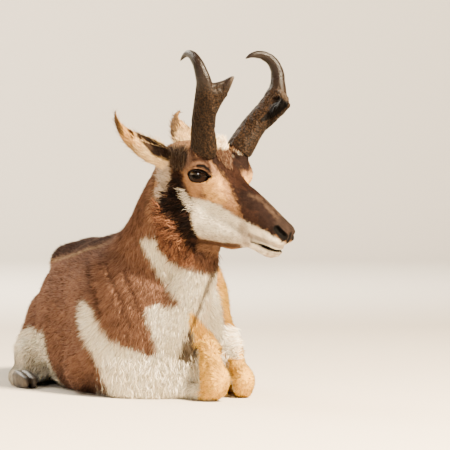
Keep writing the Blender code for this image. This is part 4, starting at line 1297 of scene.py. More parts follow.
@dataclass
class Skin:
    """The one skin that replaces all flesh solids, inside them by the coat's depth."""

    head: HeadFrame
    view: Viewpoint
    markings: Markings
    grain: float = 0.0021
    triangles: int = 150_000
    broad_passes: int = 60
    fine_passes: int = 4
    late_passes: int = 22
    trunk_depth: float = 0.0055
    neck_depth: float = 0.005
    leg_depth: float = 0.0022
    face_depth: float = 0.0016
    ear_depth: float = 0.0006
    skin_shade: float = 0.62
    object: bpy.types.Object | None = None
    shares: np.ndarray = field(default_factory=lambda: np.zeros((0, len(FLESH))))
    depths: np.ndarray = field(default_factory=lambda: np.zeros(0))
    lies: np.ndarray = field(default_factory=lambda: np.zeros((0, 3)))

    def build(self) -> bpy.types.Object:
        """Makes the skin from merged copies of the solids."""
        names = [part.value for part in FLESH]
        skin = closed_copy("skin", [*names, "eye_right", "eye_left"])
        applied(skin, "REMESH", mode="VOXEL", voxel_size=self.grain, use_smooth_shade=True)
        largest_only(skin)
        self.object = skin
        self.smooth()
        self.thin_out()
        self.smooth_late()
        for side in Side:
            lids = Lids(self.head, side)
            refine(skin, lids.centre(), 0.034)
            refine(skin, lids.centre(), 0.027)
        refine(skin, self.head.place(0.295, 0.0, -0.028), 0.044)
        self.find_shares()
        self.sink()
        self.crease()
        self.shape_face()
        self.find_lies()
        mesh = skin.data
        paint(mesh, TINT, self.markings.tints(places_of(mesh), normals_of(mesh), self.shares) * self.skin_shade)
        mesh.materials.clear()
        mesh.materials.append(TintFinish("Hide").build())
        smooth_shaded(mesh)
        return skin

    def near_head(self, places: np.ndarray) -> np.ndarray:
        """Gives 1 on the head and ears, falling to 0 on the neck."""
        reach = self.head.measures(places)
        ahead = eased(reach[:, 0] + 0.35 * reach[:, 2], -0.02, 0.04)
        ears = np.zeros(len(places))
        for side in Side:
            low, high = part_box(f"ear_{side.word}")
            outside = np.maximum(np.array(low) - places, places - np.array(high)).max(1)
            ears = np.maximum(ears, 1 - eased(outside, 0.0, 0.004))
        return np.maximum(ahead * eased(places[:, 2], 0.20, 0.24), ears)

    def weigh(self, name: str, weights: np.ndarray) -> None:
        """Stores weights in a vertex group."""
        group = self.object.vertex_groups.new(name=name)
        steps = np.round(np.clip(weights, 0, 1) * 20).astype(int)
        for step in range(1, 21):
            chosen = np.flatnonzero(steps == step)
            if len(chosen):
                group.add(chosen.tolist(), step / 20, "REPLACE")

    def smooth(self) -> None:
        """Takes the facets and locks of the solids out, and leaves the face its detail."""
        places = places_of(self.object.data)
        near = self.near_head(places)
        reach = self.head.measures(places)
        crown = (1 - eased(np.abs(reach[:, 1]), 0.03, 0.045)) * (reach[:, 2] > 0.03) * (reach[:, 0] < 0.13)
        low = 0.35 + 0.65 * eased(places[:, 2], 0.03, 0.08)
        self.weigh("Broad", np.maximum((1 - near) * low, crown * near * (np.abs(reach[:, 1]) < 0.04)))
        applied(self.object, "SMOOTH", factor=0.5, iterations=self.broad_passes, vertex_group="Broad")
        applied(self.object, "SMOOTH", factor=0.5, iterations=self.fine_passes)

    def thin_out(self) -> None:
        """Makes the mesh coarser away from the head."""
        mesh = self.object.data
        near = self.near_head(places_of(mesh))
        self.weigh("Coarse", np.where(near > 0.5, 0.0, 1.0))
        faces = sum(len(face.vertices) - 2 for face in mesh.polygons)
        applied(
            self.object,
            "DECIMATE",
            ratio=self.triangles / faces,
            vertex_group="Coarse",
            use_collapse_triangulate=True,
        )
        self.object.vertex_groups.clear()

    def smooth_late(self) -> None:
        """Rounds the trunk and neck further, now that their mesh is coarse."""
        places = places_of(self.object.data)
        raised = eased(places[:, 2], 0.05, 0.12)
        self.weigh("Late", (1 - self.near_head(places)) * raised)
        applied(self.object, "SMOOTH", factor=0.5, iterations=self.late_passes, vertex_group="Late")
        self.object.vertex_groups.clear()

    def find_shares(self) -> None:
        """Works out how much each vertex belongs to each solid."""
        corners = []
        faces = []
        owners = []
        for index, part in enumerate(FLESH):
            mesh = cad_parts[part.value].data
            start = len(corners)
            corners.extend(vert.co.copy() for vert in mesh.vertices)
            faces.extend(tuple(start + i for i in face.vertices) for face in mesh.polygons)
            owners.extend([index] * len(mesh.polygons))
        tree = BVHTree.FromPolygons(corners, faces)
        mesh = self.object.data
        shares = np.zeros((len(mesh.vertices), len(FLESH)))
        for vert in mesh.vertices:
            found = tree.find_nearest(vert.co)
            shares[vert.index, owners[found[2]]] = 1.0
        self.shares = spread(shares, self.edges(), 8)

    def edges(self) -> np.ndarray:
        """Reads the mesh's edges."""
        mesh = self.object.data
        flat = np.empty(len(mesh.edges) * 2, np.int32)
        mesh.edges.foreach_get("vertices", flat)
        return flat.reshape(-1, 2)

    def share_of(self, *parts: Flesh) -> np.ndarray:
        """Adds up the shares of some solids."""
        return self.shares[:, [FLESH.index(part) for part in parts]].sum(1)

    def sink(self) -> None:
        """Moves the surface in by the coat's depth."""
        mesh = self.object.data
        places = places_of(mesh)
        depth = self.share_of(Flesh.TORSO, Flesh.TAIL) * self.trunk_depth
        depth += self.share_of(Flesh.NECK) * self.neck_depth
        depth += self.share_of(*FORELEGS, *HINDLEGS) * self.leg_depth
        depth += self.share_of(*EARS) * self.ear_depth
        reach = self.head.measures(places)
        muzzle = 1 - 0.75 * eased(reach[:, 0], 0.24, 0.29)
        depth += self.share_of(Flesh.HEAD) * self.face_depth * muzzle
        self.depths = depth
        grounded = eased(places[:, 2], 0.0, 0.03)
        set_places(mesh, places - normals_of(mesh) * (depth * grounded)[:, None])

    def crease(self) -> None:
        """Presses in the long folds at the neck's base and the knee, and ripples the loose skin."""
        mesh = self.object.data
        places = places_of(mesh)
        normals = normals_of(mesh)
        spots = self.view.spots(places)
        facing = eased(normals @ self.view.toward, 0.0, 0.3)
        body = self.share_of(Flesh.NECK, Flesh.TORSO, *FORELEGS)
        front = (places[:, 1] - self.head.shift[1] < 0.10) * facing * body
        pressed = np.zeros(len(places))
        for path, depth in FOLDS:
            away = distance_to_path(spots, np.array(path, float))
            pressed += depth * (np.exp(-((away / 2.2) ** 2)) - 0.15 * np.exp(-(((away - 5.5) / 2.5) ** 2))) * front
        stretched = places * np.array([1.0, 1.0, 0.45])
        loose = ripples(stretched, 0.022, 51) * eased(places[:, 2], 0.03, 0.08) * self.share_of(Flesh.TORSO, Flesh.NECK)
        pressed += 0.0008 * loose
        set_places(mesh, places - normals * pressed[:, None])

    def shape_face(self) -> None:
        """Shapes the lids, the nostrils and the lips."""
        for side in Side:
            Lids(self.head, side).shape(self.object)
        Muzzle(self.head).shape(self.object)

    def find_lies(self) -> None:
        """Works out which way the hair lies at each vertex."""
        mesh = self.object.data
        places = places_of(mesh)
        normals = normals_of(mesh)
        drawn = places - self.head.shift
        forward, left, crown = self.head.axes
        reach = self.head.measures(places)
        sideways = np.sign(reach[:, 1])[:, None]
        cheek = (1 - eased(reach[:, 2], -0.06, 0.02))[:, None]
        face = -forward + 0.12 * sideways * left + cheek * (-0.25 * crown) + (1 - cheek) * 0.05 * crown
        throat = eased(drawn[:, 1] + 0.9 * (drawn[:, 2] - 0.3), -0.22, -0.05)[:, None]
        neck = (1 - throat) * np.array([0.0, 0.10, -1.0]) + throat * np.array([0.0, 0.85, -0.55])
        high = eased(drawn[:, 2], 0.10, 0.28)[:, None]
        outward = np.stack([normals[:, 0], np.zeros(len(places)), np.zeros(len(places))], 1)
        trunk = np.array([0.0, 1.0, 0.0]) + (1 - high) * np.array([0.0, -0.35, -0.35]) + 0.2 * outward
        chest = (1 - eased(drawn[:, 1], -0.24, -0.12))[:, None]
        trunk = (1 - chest) * trunk + chest * np.array([0.0, 0.15, -1.0])
        lie = self.share_of(Flesh.HEAD)[:, None] * unit(face)
        lie += self.share_of(Flesh.NECK)[:, None] * unit(neck)
        lie += self.share_of(Flesh.TORSO)[:, None] * unit(trunk)
        lie += self.share_of(Flesh.TAIL)[:, None] * unit(np.array([0.1, 0.35, -0.9]))
        for side, ear in zip(Side, EARS):
            lie += self.share_of(ear)[:, None] * EarCup(self.head, side).axis
            for kind in ("fore", "hind"):
                leg = Flesh[f"{kind.upper()}LEG_{side.name}"]
                hoof_low, hoof_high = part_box(f"hoof_{kind}_{side.word}")
                leg_low, leg_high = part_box(leg.value)
                way = np.array(hoof_low + hoof_high - leg_low - leg_high)
                lie += self.share_of(leg)[:, None] * unit(way)
        lie = along_surface(lie, normals)
        lie = spread(lie, self.edges(), 10)
        self.lies = along_surface(lie, normals)


@dataclass(frozen=True)
class EarCup:
    """One ear's own measures."""

    head: HeadFrame
    side: Side

    @property
    def root(self) -> np.ndarray:
        """The middle of the ear's base."""
        if self.side is Side.RIGHT:
            return self.head.place(0.019, -0.047, 0.014)
        return self.head.place(0.018, 0.047, 0.020)

    @property
    def reach(self) -> np.ndarray:
        """The way from the root to the tip."""
        tip = (-0.079, -0.090, 0.065) if self.side is Side.RIGHT else (-0.118, 0.063, 0.044)
        return np.array(tip) @ self.head.axes

    @property
    def axis(self) -> np.ndarray:
        """The way along the ear, of length 1."""
        return unit(self.reach)

    @property
    def cup(self) -> np.ndarray:
        """The way that the cup faces."""
        way = (0.27, 0.35, 0.89) if self.side is Side.RIGHT else (0.45, 0.75, 0.5)
        facing = np.array(way) @ self.head.axes
        return unit(facing - self.axis * (facing @ self.axis))

    def measures(self, points: np.ndarray, normals: np.ndarray) -> tuple[np.ndarray, np.ndarray]:
        """Measures places on the ear.

        Args:
            points: Places in metres.
            normals: The way that the surface faces there.

        Returns:
            The share of the ear's length from its root, and 1 in the cup or 0 outside it.
        """
        offset = points - self.root
        along = offset @ self.axis
        share = along / np.linalg.norm(self.reach)
        spoke = offset - along[:, None] * self.axis - 0.004 * self.cup
        inward = eased(-(normals * unit(spoke)).sum(1), -0.1, 0.4)
        return share, inward * eased(share, 0.02, 0.10)


@dataclass(frozen=True)
class Lids:
    """The lids of one eye, pressed into the skin over its globe."""

    head: HeadFrame
    side: Side
    half_length: float = 0.0214
    high: float = 0.0100
    low: float = 0.0104
    rim: float = 0.0010
    swell: float = 0.0020
    hollow: float = 0.0045
    most_press: float = 0.0070
    fold_at: float = 0.0064
    fold_depth: float = 0.0012
    under_fold_depth: float = 0.0008

    def axes(self) -> np.ndarray:
        """The eye's own axes: along the slit, across it and outwards, one a row."""
        forward, left, crown = self.head.axes
        gaze = unit(0.22 * forward + self.side.value * 0.97 * left + 0.05 * crown)
        along = 0.95 * forward + 0.28 * crown
        along = unit(along - gaze * (along @ gaze))
        across = np.cross(gaze, along)
        return np.stack([along, across if across @ crown > 0 else -across, gaze])

    def centre(self) -> np.ndarray:
        """The middle of the globe."""
        forward, left, up = self.head.eye
        return self.head.place(forward, self.side.value * left, up)

    def local(self, points: np.ndarray) -> np.ndarray:
        """Turns world places into the eye's own axes."""
        return (points - self.centre()) @ self.axes().T

    def outline(self) -> np.ndarray:
        """The almond-shaped opening, with the tear corner drawn out to a point."""
        turn = np.linspace(0, 2 * math.pi, 56, endpoint=False)
        rise = np.sin(turn)
        height = np.where(rise > 0, self.high, self.low) * np.sign(rise) * np.abs(rise) ** 1.15
        corners = np.stack([self.half_length * np.cos(turn), height], 1)
        corners[0] = (self.half_length + 0.0045, 0.0004)
        return corners

    def inside(self, local: np.ndarray) -> np.ndarray:
        """Measures how far each place lies inside the opening, below 0 outside it."""
        return depth_inside(local[:, :2], self.outline())

    def shape(self, obj: bpy.types.Object) -> None:
        """Presses the opening in and raises the rims and folds."""
        mesh = obj.data
        places = places_of(mesh)
        near = np.flatnonzero(np.linalg.norm(places - self.centre(), axis=1) < 0.05)
        local = self.local(places[near])
        front = eased(local[:, 2], 0.0, 0.006)
        inside = self.inside(local)
        radius = np.linalg.norm(local, axis=1)
        flat = np.linalg.norm(local[:, :2], axis=1)
        lid = self.head.globe + self.rim + self.swell * eased(-inside, 0.0008, 0.0050)
        pressed = eased(inside, -0.0004, 0.0010)
        wanted = (1 - pressed) * lid + pressed * (self.head.globe - self.hollow)
        close = eased(inside, -0.0080, -0.0022) * front * (1 - eased(flat, 0.0215, 0.0245))
        change = np.clip(wanted - radius, -self.most_press, 0.004) * close
        moved = local * (1 + change / np.maximum(radius, 1e-9))[:, None]
        away = -inside
        above = eased(local[:, 1], -0.002, 0.003)
        reach = 1 - eased(np.abs(local[:, 0]), 0.014, 0.026)
        upper = np.exp(-(((away - self.fold_at) / 0.0015) ** 2)) * above * self.fold_depth
        under = np.exp(-(((away - 0.8 * self.fold_at) / 0.0013) ** 2)) * (1 - above) * self.under_fold_depth
        corner = distance_to_path(local[:, :2], np.array([[0.0215, 0.0], [0.033, 0.003]]))
        groove = 0.0018 * np.exp(-((corner / 0.0013) ** 2)) * (local[:, 0] > 0.0215)
        moved[:, 2] -= ((upper + under) * reach * (away > 0) + groove) * front
        places[near] = moved @ self.axes() + self.centre()
        set_places(mesh, places)


@dataclass(frozen=True)
class Muzzle:
    """The nostrils and lips."""

    head: HeadFrame
    nostril: tuple[tuple[float, float, float], ...] = (
        (0.2940, 0.0240, -0.0058),
        (0.3010, 0.0230, -0.0092),
        (0.3085, 0.0185, -0.0130),
        (0.3150, 0.0125, -0.0165),
    )
    mouth: tuple[tuple[float, float], ...] = (
        (0.2480, -0.0530),
        (0.2576, -0.0515),
        (0.2705, -0.0490),
        (0.2851, -0.0482),
        (0.3035, -0.0487),
        (0.3200, -0.0505),
    )

    def from_nostril(self, points: np.ndarray) -> np.ndarray:
        """Measures the distance to the nearer nostril's curve."""
        reach = self.head.measures(points)
        reach[:, 1] = np.abs(reach[:, 1])
        return distance_to_path(reach, np.array(self.nostril))

    def from_mouth(self, points: np.ndarray) -> np.ndarray:
        """Measures the distance to the mouth's line, seen from the side."""
        reach = self.head.measures(points)
        return distance_to_path(reach[:, [0, 2]], np.array(self.mouth))

    def shape(self, obj: bpy.types.Object) -> None:
        """Deepens the nostrils and the mouth, and rounds their rims."""
        mesh = obj.data
        places = places_of(mesh)
        normals = normals_of(mesh)
        nostril = self.from_nostril(places)
        mouth = self.from_mouth(places)
        on_muzzle = eased(self.head.measures(places)[:, 0], 0.235, 0.262)
        open_wide = 1 + 1.6 * eased(self.head.measures(places)[:, 0], 0.262, 0.285)
        lips = 0.0009 * np.exp(-(((mouth - 0.0048) / 0.0020) ** 2))
        lips -= 0.0016 * open_wide * np.exp(-((mouth / 0.0020) ** 2))
        wings = 0.0009 * np.exp(-(((nostril - 0.0076) / 0.0018) ** 2)) - 0.0036 * np.exp(-((nostril / 0.0038) ** 2))
        set_places(mesh, places + normals * ((lips + wings) * on_muzzle)[:, None])


# The coat


@dataclass(frozen=True)
class CoatPatch:
    """One piece of the coat, its tufts alike in size."""

    name: str
    parts: tuple[Flesh, ...]
    count: int
    length: float
    width: float
    rise: float
    back: float = -9.0
    front: float = 9.0
    curl: float = 0.25


PATCHES = (
    CoatPatch("coat_face", HEAD_ONLY, 49_000, 0.0062, 0.0011, 13, curl=0.15),
    CoatPatch("coat_ears", EARS, 14_000, 0.0080, 0.0011, 12, curl=0.15),
    CoatPatch("coat_neck", (Flesh.NECK,), 49_000, 0.014, 0.0019, 15),
    CoatPatch("coat_chest", (Flesh.TORSO,), 49_000, 0.016, 0.0021, 15, front=-0.08, curl=0.4),
    CoatPatch("coat_ribs", (Flesh.TORSO,), 49_000, 0.015, 0.0021, 14, back=-0.08, front=0.19, curl=0.5),
    CoatPatch("coat_rump", (Flesh.TORSO, Flesh.TAIL), 49_000, 0.016, 0.0022, 14, back=0.19, curl=0.4),
    CoatPatch("coat_legs", (*FORELEGS, *HINDLEGS), 32_000, 0.008, 0.0015, 11, curl=0.15),
)


@dataclass(frozen=True)
class Tress:
    """A place where longer locks grow.

    The place is an outline in the photo's pixels, a box, or both. A box is in the head's axes, with left taken
    without its sign, or in the metres that the solids were drawn in. The way is in the same axes.
    """

    name: str
    parts: tuple[Flesh, ...]
    count: int
    length: float
    width: float
    rise: float
    curl: float = 0.3
    tones: tuple[tuple[float, float, float], ...] = ()
    outline: tuple[tuple[float, float], ...] = ()
    mirrored: bool = True
    of_head: bool = False
    low: tuple[float, float, float] = (-9.0, -9.0, -9.0)
    high: tuple[float, float, float] = (9.0, 9.0, 9.0)
    way: tuple[float, float, float] | None = None
    upward: bool = False


TRESSES = (
    Tress("locks_mane", (Flesh.NECK, Flesh.HEAD), 900, 0.015, 0.0018, 30, 0.35,
          ((74, 45, 32), (48, 31, 24), (106, 66, 45)),
          low=(-0.030, -0.262, 0.31), high=(0.012, -0.06, 0.60), way=(0.0, 1.0, -0.30), upward=True),
    Tress("locks_crown", HEAD_ONLY, 900, 0.012, 0.0016, 30, 0.6, ((226, 204, 168), (206, 178, 138), (240, 226, 200)),
          of_head=True, low=(0.030, 0.0, 0.074), high=(0.118, 0.034, 0.2), way=(-1.0, 0.5, 0.1)),
    Tress("locks_forehead", HEAD_ONLY, 900, 0.012, 0.0014, 20, 0.5,
          ((84, 64, 52), (48, 31, 24), (112, 88, 70), (66, 42, 32)),
          ((214, 150), (222, 146), (244, 148), (244, 166), (236, 174), (226, 168), (218, 160)), of_head=True,
          way=(-0.9, 0.2, 0.5)),
    Tress("locks_tuft", HEAD_ONLY, 700, 0.014, 0.0014, 34, 0.6, ((236, 216, 184), (216, 190, 152), (246, 234, 210)),
          ((213, 138), (236, 138), (241, 146), (234, 151), (217, 152)), of_head=True, way=(-0.5, 0.3, 0.8)),
    Tress("locks_horn_root", HEAD_ONLY, 420, 0.010, 0.0011, 20, 0.4,
          ((70, 46, 34), (48, 32, 26), (112, 84, 64)),
          ((186, 148), (216, 146), (216, 156), (206, 159), (190, 158)), of_head=True, way=(-0.4, 0.2, 1.0)),
    Tress("locks_ear_front", HEAD_ONLY, 520, 0.016, 0.0009, 18, 0.5,
          ((34, 26, 22), (48, 37, 31), (72, 58, 48), (60, 48, 40), (110, 94, 80)),
          ((170, 150), (184, 149), (187, 158), (183, 172), (173, 174)), of_head=True, way=(-0.25, 0.2, 1.0)),
    Tress("locks_ear_rim", EARS, 900, 0.013, 0.0011, 22, 0.3),
    Tress("locks_fringe", (Flesh.HEAD, Flesh.NECK), 340, 0.011, 0.0007, 20, 0.6, ((250, 242, 228), (232, 218, 196)),
          ((180, 188), (186, 190), (193, 199), (195, 208), (190, 209), (186, 202), (180, 195)),
          of_head=True, way=(-1.0, 0.1, -0.45)),
    Tress("locks_patch", (Flesh.HEAD, Flesh.NECK), 620, 0.018, 0.0018, 15, 0.35,
          ((24, 16, 14), (44, 30, 24), (15, 11, 10)),
          ((172, 180), (181, 184), (190, 202), (190, 225), (194, 246), (186, 240), (176, 222), (163, 207), (163, 199)),
          of_head=True, way=(-0.8, 0.1, -0.8)),
    Tress("locks_curls", (Flesh.HEAD, Flesh.NECK), 1300, 0.017, 0.0020, 24, 1.0,
          ((96, 62, 45), (128, 88, 64), (58, 38, 29), (112, 76, 56)),
          ((156, 200), (164, 208), (176, 222), (188, 242), (198, 254), (190, 264), (172, 256), (158, 240))),
    Tress("locks_brisket", (Flesh.TORSO,), 2600, 0.020, 0.0015, 14, 0.6, ((246, 238, 224), (236, 222, 198)),
          ((98, 352), (120, 352), (150, 354), (174, 352), (180, 364), (196, 366), (200, 420), (104, 420)),
          way=(0.0, -0.1, -1.0)),
    Tress("locks_elbow", (Flesh.TORSO, Flesh.FORELEG_LEFT), 300, 0.019, 0.0022, 22, 0.5,
          ((250, 242, 226), (238, 220, 190)),
          ((221, 322), (231, 324), (235, 345), (236, 360), (227, 358), (223, 345)), mirrored=False,
          way=(0.8, -0.1, -0.7)),
    Tress("locks_tail", (Flesh.TAIL,), 900, 0.030, 0.0020, 12, 0.25),
    Tress("locks_rump", (Flesh.TORSO,), 1500, 0.024, 0.0022, 15, 0.35, low=(-9.0, 0.41, 0.06)),
    Tress("locks_flank", (Flesh.TORSO,), 1500, 0.022, 0.0023, 13, 0.6, low=(-9.0, -0.10, 0.02), high=(9.0, 0.30, 0.13)),
)


@dataclass
class Strands:
    """Tapered tufts or locks, all of one piece, as arrays with one row for each."""

    roots: np.ndarray
    normals: np.ndarray
    lies: np.ndarray
    length: np.ndarray
    width: np.ndarray
    rise: np.ndarray
    curl: np.ndarray
    phase: np.ndarray
    tints: np.ndarray
    sunk: float = 0.0006
    ground: float = 0.0006

    def across(self) -> np.ndarray:
        """The way across each strand."""
        return np.cross(self.normals, self.lies)

    def spine(self, share: float) -> np.ndarray:
        """Finds a place along each strand's bent middle.

        Args:
            share: How far along, from 0 at the root to 1 at the tip.

        Returns:
            One place for each strand.
        """
        out = np.sin(self.rise) * (1.7 * share - 0.7 * share * share)
        ahead = np.cos(self.rise) * share
        swing = 0.30 * self.curl * share * np.sin(self.phase + 2.4 * math.pi * share)
        steps = self.lies * ahead[:, None] + self.normals * out[:, None] + self.across() * swing[:, None]
        places = self.roots - self.normals * self.sunk + steps * self.length[:, None]
        places[:, 2] = np.maximum(places[:, 2], self.ground)
        return places

    def points(self, rings: tuple[tuple[float, float], ...]) -> np.ndarray:
        """Finds the corners of every strand.

        Args:
            rings: For each ring, its share of the length and its share of the width.

        Returns:
            Three corners for each ring and one for the tip, by strand.
        """
        columns = []
        for share, part in rings:
            middle = self.spine(share)
            half = self.across() * (0.5 * part * self.width)[:, None]
            ridge = middle + self.normals * (0.32 * part * self.width)[:, None]
            columns.extend([middle - half, middle + half, ridge])
        columns.append(self.spine(1.0))
        return np.stack(columns, 1)


TUFT_RINGS = ((0.0, 1.0),)
LOCK_RINGS = ((0.0, 0.8), (0.35, 1.0), (0.72, 0.6))


@dataclass
class Coat:
    """The short coat and its locks: thin closed strands that lie along the skin."""

    skin: Skin
    markings: Markings
    seed: int = 41
    quick_share: float = 0.35
    # Strands darken towards the root and lighten towards the tip: partly the hair's own darker roots and paler tips,
    # partly painted shade in the gaps between strands.
    root_shade: float = 0.62
    tip_shade: float = 1.18
    dark_share: float = 0.18
    dark_shade: float = 0.45
    patch_side: float = 0.003

    def prepare(self) -> None:
        """Reads the skin, finds where no hair grows, and unwraps a coarse copy."""
        mesh = self.skin.object.data
        mesh.calc_loop_triangles()
        flat = np.empty(len(mesh.loop_triangles) * 3, np.int32)
        mesh.loop_triangles.foreach_get("vertices", flat)
        self.faces = flat.reshape(-1, 3)
        self.places = places_of(mesh)
        self.normals = normals_of(mesh)
        corners = self.places[self.faces]
        crossed = np.cross(corners[:, 1] - corners[:, 0], corners[:, 2] - corners[:, 0])
        self.areas = 0.5 * np.linalg.norm(crossed, axis=1)
        self.middles = corners.mean(1)
        self.facing = unit(crossed)
        self.areas[self.middles[:, 2] < 0.004] = 0.0
        self.areas[self.bare()] = 0.0
        shares = self.skin.shares[self.faces].mean(1)
        matched = self.markings.mirror.to_right(self.middles, shares)
        self.matched_spots = self.markings.view.spots(matched)
        self.own_spots = self.markings.view.spots(self.middles)
        self.finish = TintFinish("Coat", mottling=0.06, bump=0.10).build()
        self.unwrap()

    def bare(self) -> np.ndarray:
        """Marks the faces on which no hair grows: in the lids, nostrils and mouth."""
        head = self.skin.head
        found = np.zeros(len(self.middles), bool)
        for side in Side:
            lids = Lids(head, side)
            local = lids.local(self.middles)
            near = (np.linalg.norm(local, axis=1) < 0.04) & (local[:, 2] > 0)
            found |= near & (lids.inside(local) > -0.0016)
        muzzle = Muzzle(head)
        ahead = head.measures(self.middles)[:, 0] > 0.245
        near_hand = np.linalg.norm(self.middles - head.place(0.29, 0.0, -0.02), axis=1) < 0.08
        found |= near_hand & ahead & (muzzle.from_nostril(self.middles) < 0.0052)
        found |= near_hand & ahead & (muzzle.from_mouth(self.middles) < 0.0022)
        return found

    def unwrap(self) -> None:
        """Unwraps a coarse copy of the skin, so that each strand finds its root's place on it."""
        skin = self.skin.object
        copy = bpy.data.objects.new("Unwrap", skin.data.copy())
        bpy.context.scene.collection.objects.link(copy)
        applied(copy, "DECIMATE", ratio=0.10)
        only(copy)
        bpy.ops.object.mode_set(mode="EDIT")
        bpy.ops.mesh.select_all(action="SELECT")
        bpy.ops.uv.smart_project(angle_limit=1.15, island_margin=0.004)
        bpy.ops.object.mode_set(mode="OBJECT")
        mesh = copy.data
        self.map_corners = places_of(mesh)
        self.map_faces = [tuple(face.vertices) for face in mesh.polygons]
        spots = np.empty(len(mesh.loops) * 2, np.float32)
        mesh.uv_layers.active.data.foreach_get("uv", spots)
        self.map_spots = spots.reshape(-1, 3, 2)
        self.map_tree = BVHTree.FromPolygons([Vector(place) for place in self.map_corners], self.map_faces)
        bpy.data.objects.remove(copy)

    def map_places(self, roots: np.ndarray) -> np.ndarray:
        """Finds each root's place on the unwrapped skin."""
        chosen = np.empty(len(roots), int)
        places = np.empty((len(roots), 3))
        for index, root in enumerate(roots):
            place, _, face, _ = self.map_tree.find_nearest(Vector(root))
            chosen[index] = face
            places[index] = place
        corner = np.array(self.map_faces)[chosen]
        a, b, c = (self.map_corners[corner[:, i]] for i in range(3))
        u, v, w = b - a, c - a, places - a
        uu, uv, vv = (u * u).sum(1), (u * v).sum(1), (v * v).sum(1)
        wu, wv = (w * u).sum(1), (w * v).sum(1)
        scale = np.maximum(uu * vv - uv * uv, 1e-18)
        second = (vv * wu - uv * wv) / scale
        third = (uu * wv - uv * wu) / scale
        weights = np.clip(np.stack([1 - second - third, second, third], 1), 0, 1)
        weights /= weights.sum(1, keepdims=True)
        return (weights[:, :, None] * self.map_spots[chosen]).sum(1)

    def draw_roots(
        self,
        chance: np.ndarray,
        count: int,
        rng: np.random.Generator,
    ) -> tuple[np.ndarray, np.ndarray]:
        """Draws places for strands.

        Args:
            chance: Each face's weight in the draw.
            count: How many strands the full coat has.
            rng: The seeded source of random draws.

        Returns:
            The face of each root, and its three weights on that face.
        """
        total = np.cumsum(chance)
        wanted = int(count * (1))
        steps = (np.arange(wanted) + rng.random(wanted)) / wanted * total[-1]
        faces = np.searchsorted(total, steps)
        first = np.sqrt(rng.random(wanted))
        second = rng.random(wanted)
        weights = np.stack([1 - first, first * (1 - second), first * second], 1)
        return np.minimum(faces, len(self.faces) - 1), weights

    def owned(self, parts: tuple[Flesh, ...]) -> np.ndarray:
        """Gives each face's share in some solids, or 0 where it is small."""
        columns = [FLESH.index(part) for part in parts]
        share = self.skin.shares[:, columns].sum(1)[self.faces].mean(1)
        return np.where(share > 0.3, share, 0)

    def strands(
        self,
        chance: np.ndarray,
        plan: CoatPatch | Tress,
        rng: np.random.Generator,
        ways: np.ndarray | None = None,
    ) -> Strands:
        """Grows strands on the faces that chance allows.

        Args:
            chance: Each face's weight in the draw.
            plan: The patch or tress, for its sizes.
            rng: The seeded source of random draws.
            ways: The way in which the strands of each face lie, or None for the skin's own.

        Returns:
            The strands.
        """
        faces, weights = self.draw_roots(chance, plan.count, rng)
        corner = self.faces[faces]

        def blended(values: np.ndarray) -> np.ndarray:
            """Reads vertex values at the roots."""
            return (values[corner] * weights[:, :, None]).sum(1)

        roots = blended(self.places)
        normals = unit(blended(self.normals))
        lies = blended(self.skin.lies) if ways is None else ways[faces]
        lies = along_surface(lies, normals)
        count = len(roots)
        swirl = 0.22 * ripples(roots, 0.035, 21) + plan.curl * ripples(roots, 0.008, 23)
        swirl += 0.18 * rng.normal(size=count)
        lies = unit(lies + np.cross(normals, lies) * swirl[:, None])
        longer = np.where(rng.random(count) < 0.12, 1.4, 1.0)
        tints = self.markings.tints(roots, normals, blended(self.skin.shares))
        lumps = 1 + 0.16 * ripples(roots, 0.005, 27)
        lumps *= np.where(rng.random(count) < self.dark_share, self.dark_shade, 1.0)
        return Strands(
            roots,
            normals,
            lies,
            plan.length * rng.uniform(0.75, 1.25, count) * longer,
            plan.width * rng.uniform(0.8, 1.2, count) / np.sqrt(longer),
            np.radians(plan.rise * rng.uniform(0.6, 1.5, count)),
            plan.curl * rng.uniform(0.5, 1.3, count),
            rng.uniform(0, 2 * math.pi, count),
            tints * (lumps * rng.normal(1.0, 0.18, count))[:, None],
        )

    def grow(self, patch: CoatPatch) -> bpy.types.Object:
        """Makes one patch of the short coat."""
        rng = np.random.default_rng(self.seed + PATCHES.index(patch))
        level = self.middles[:, 1] - self.skin.head.shift[1]
        here = (level > patch.back) & (level <= patch.front)
        made = self.strands(self.areas * self.owned(patch.parts) * here, patch, rng)
        if patch.parts == HEAD_ONLY:
            reach = self.skin.head.measures(made.roots)
            short = 1 - 0.55 * eased(reach[:, 0], 0.16, 0.29)
            for side in Side:
                from_eye = np.linalg.norm(made.roots - Lids(self.skin.head, side).centre(), axis=1)
                short = np.minimum(short, 0.45 + 0.55 * eased(from_eye, 0.026, 0.045))
            made.length = made.length * short
            made.width = made.width * (0.45 + 0.55 * short)
        return self.object_of(patch.name, made, TUFT_RINGS)

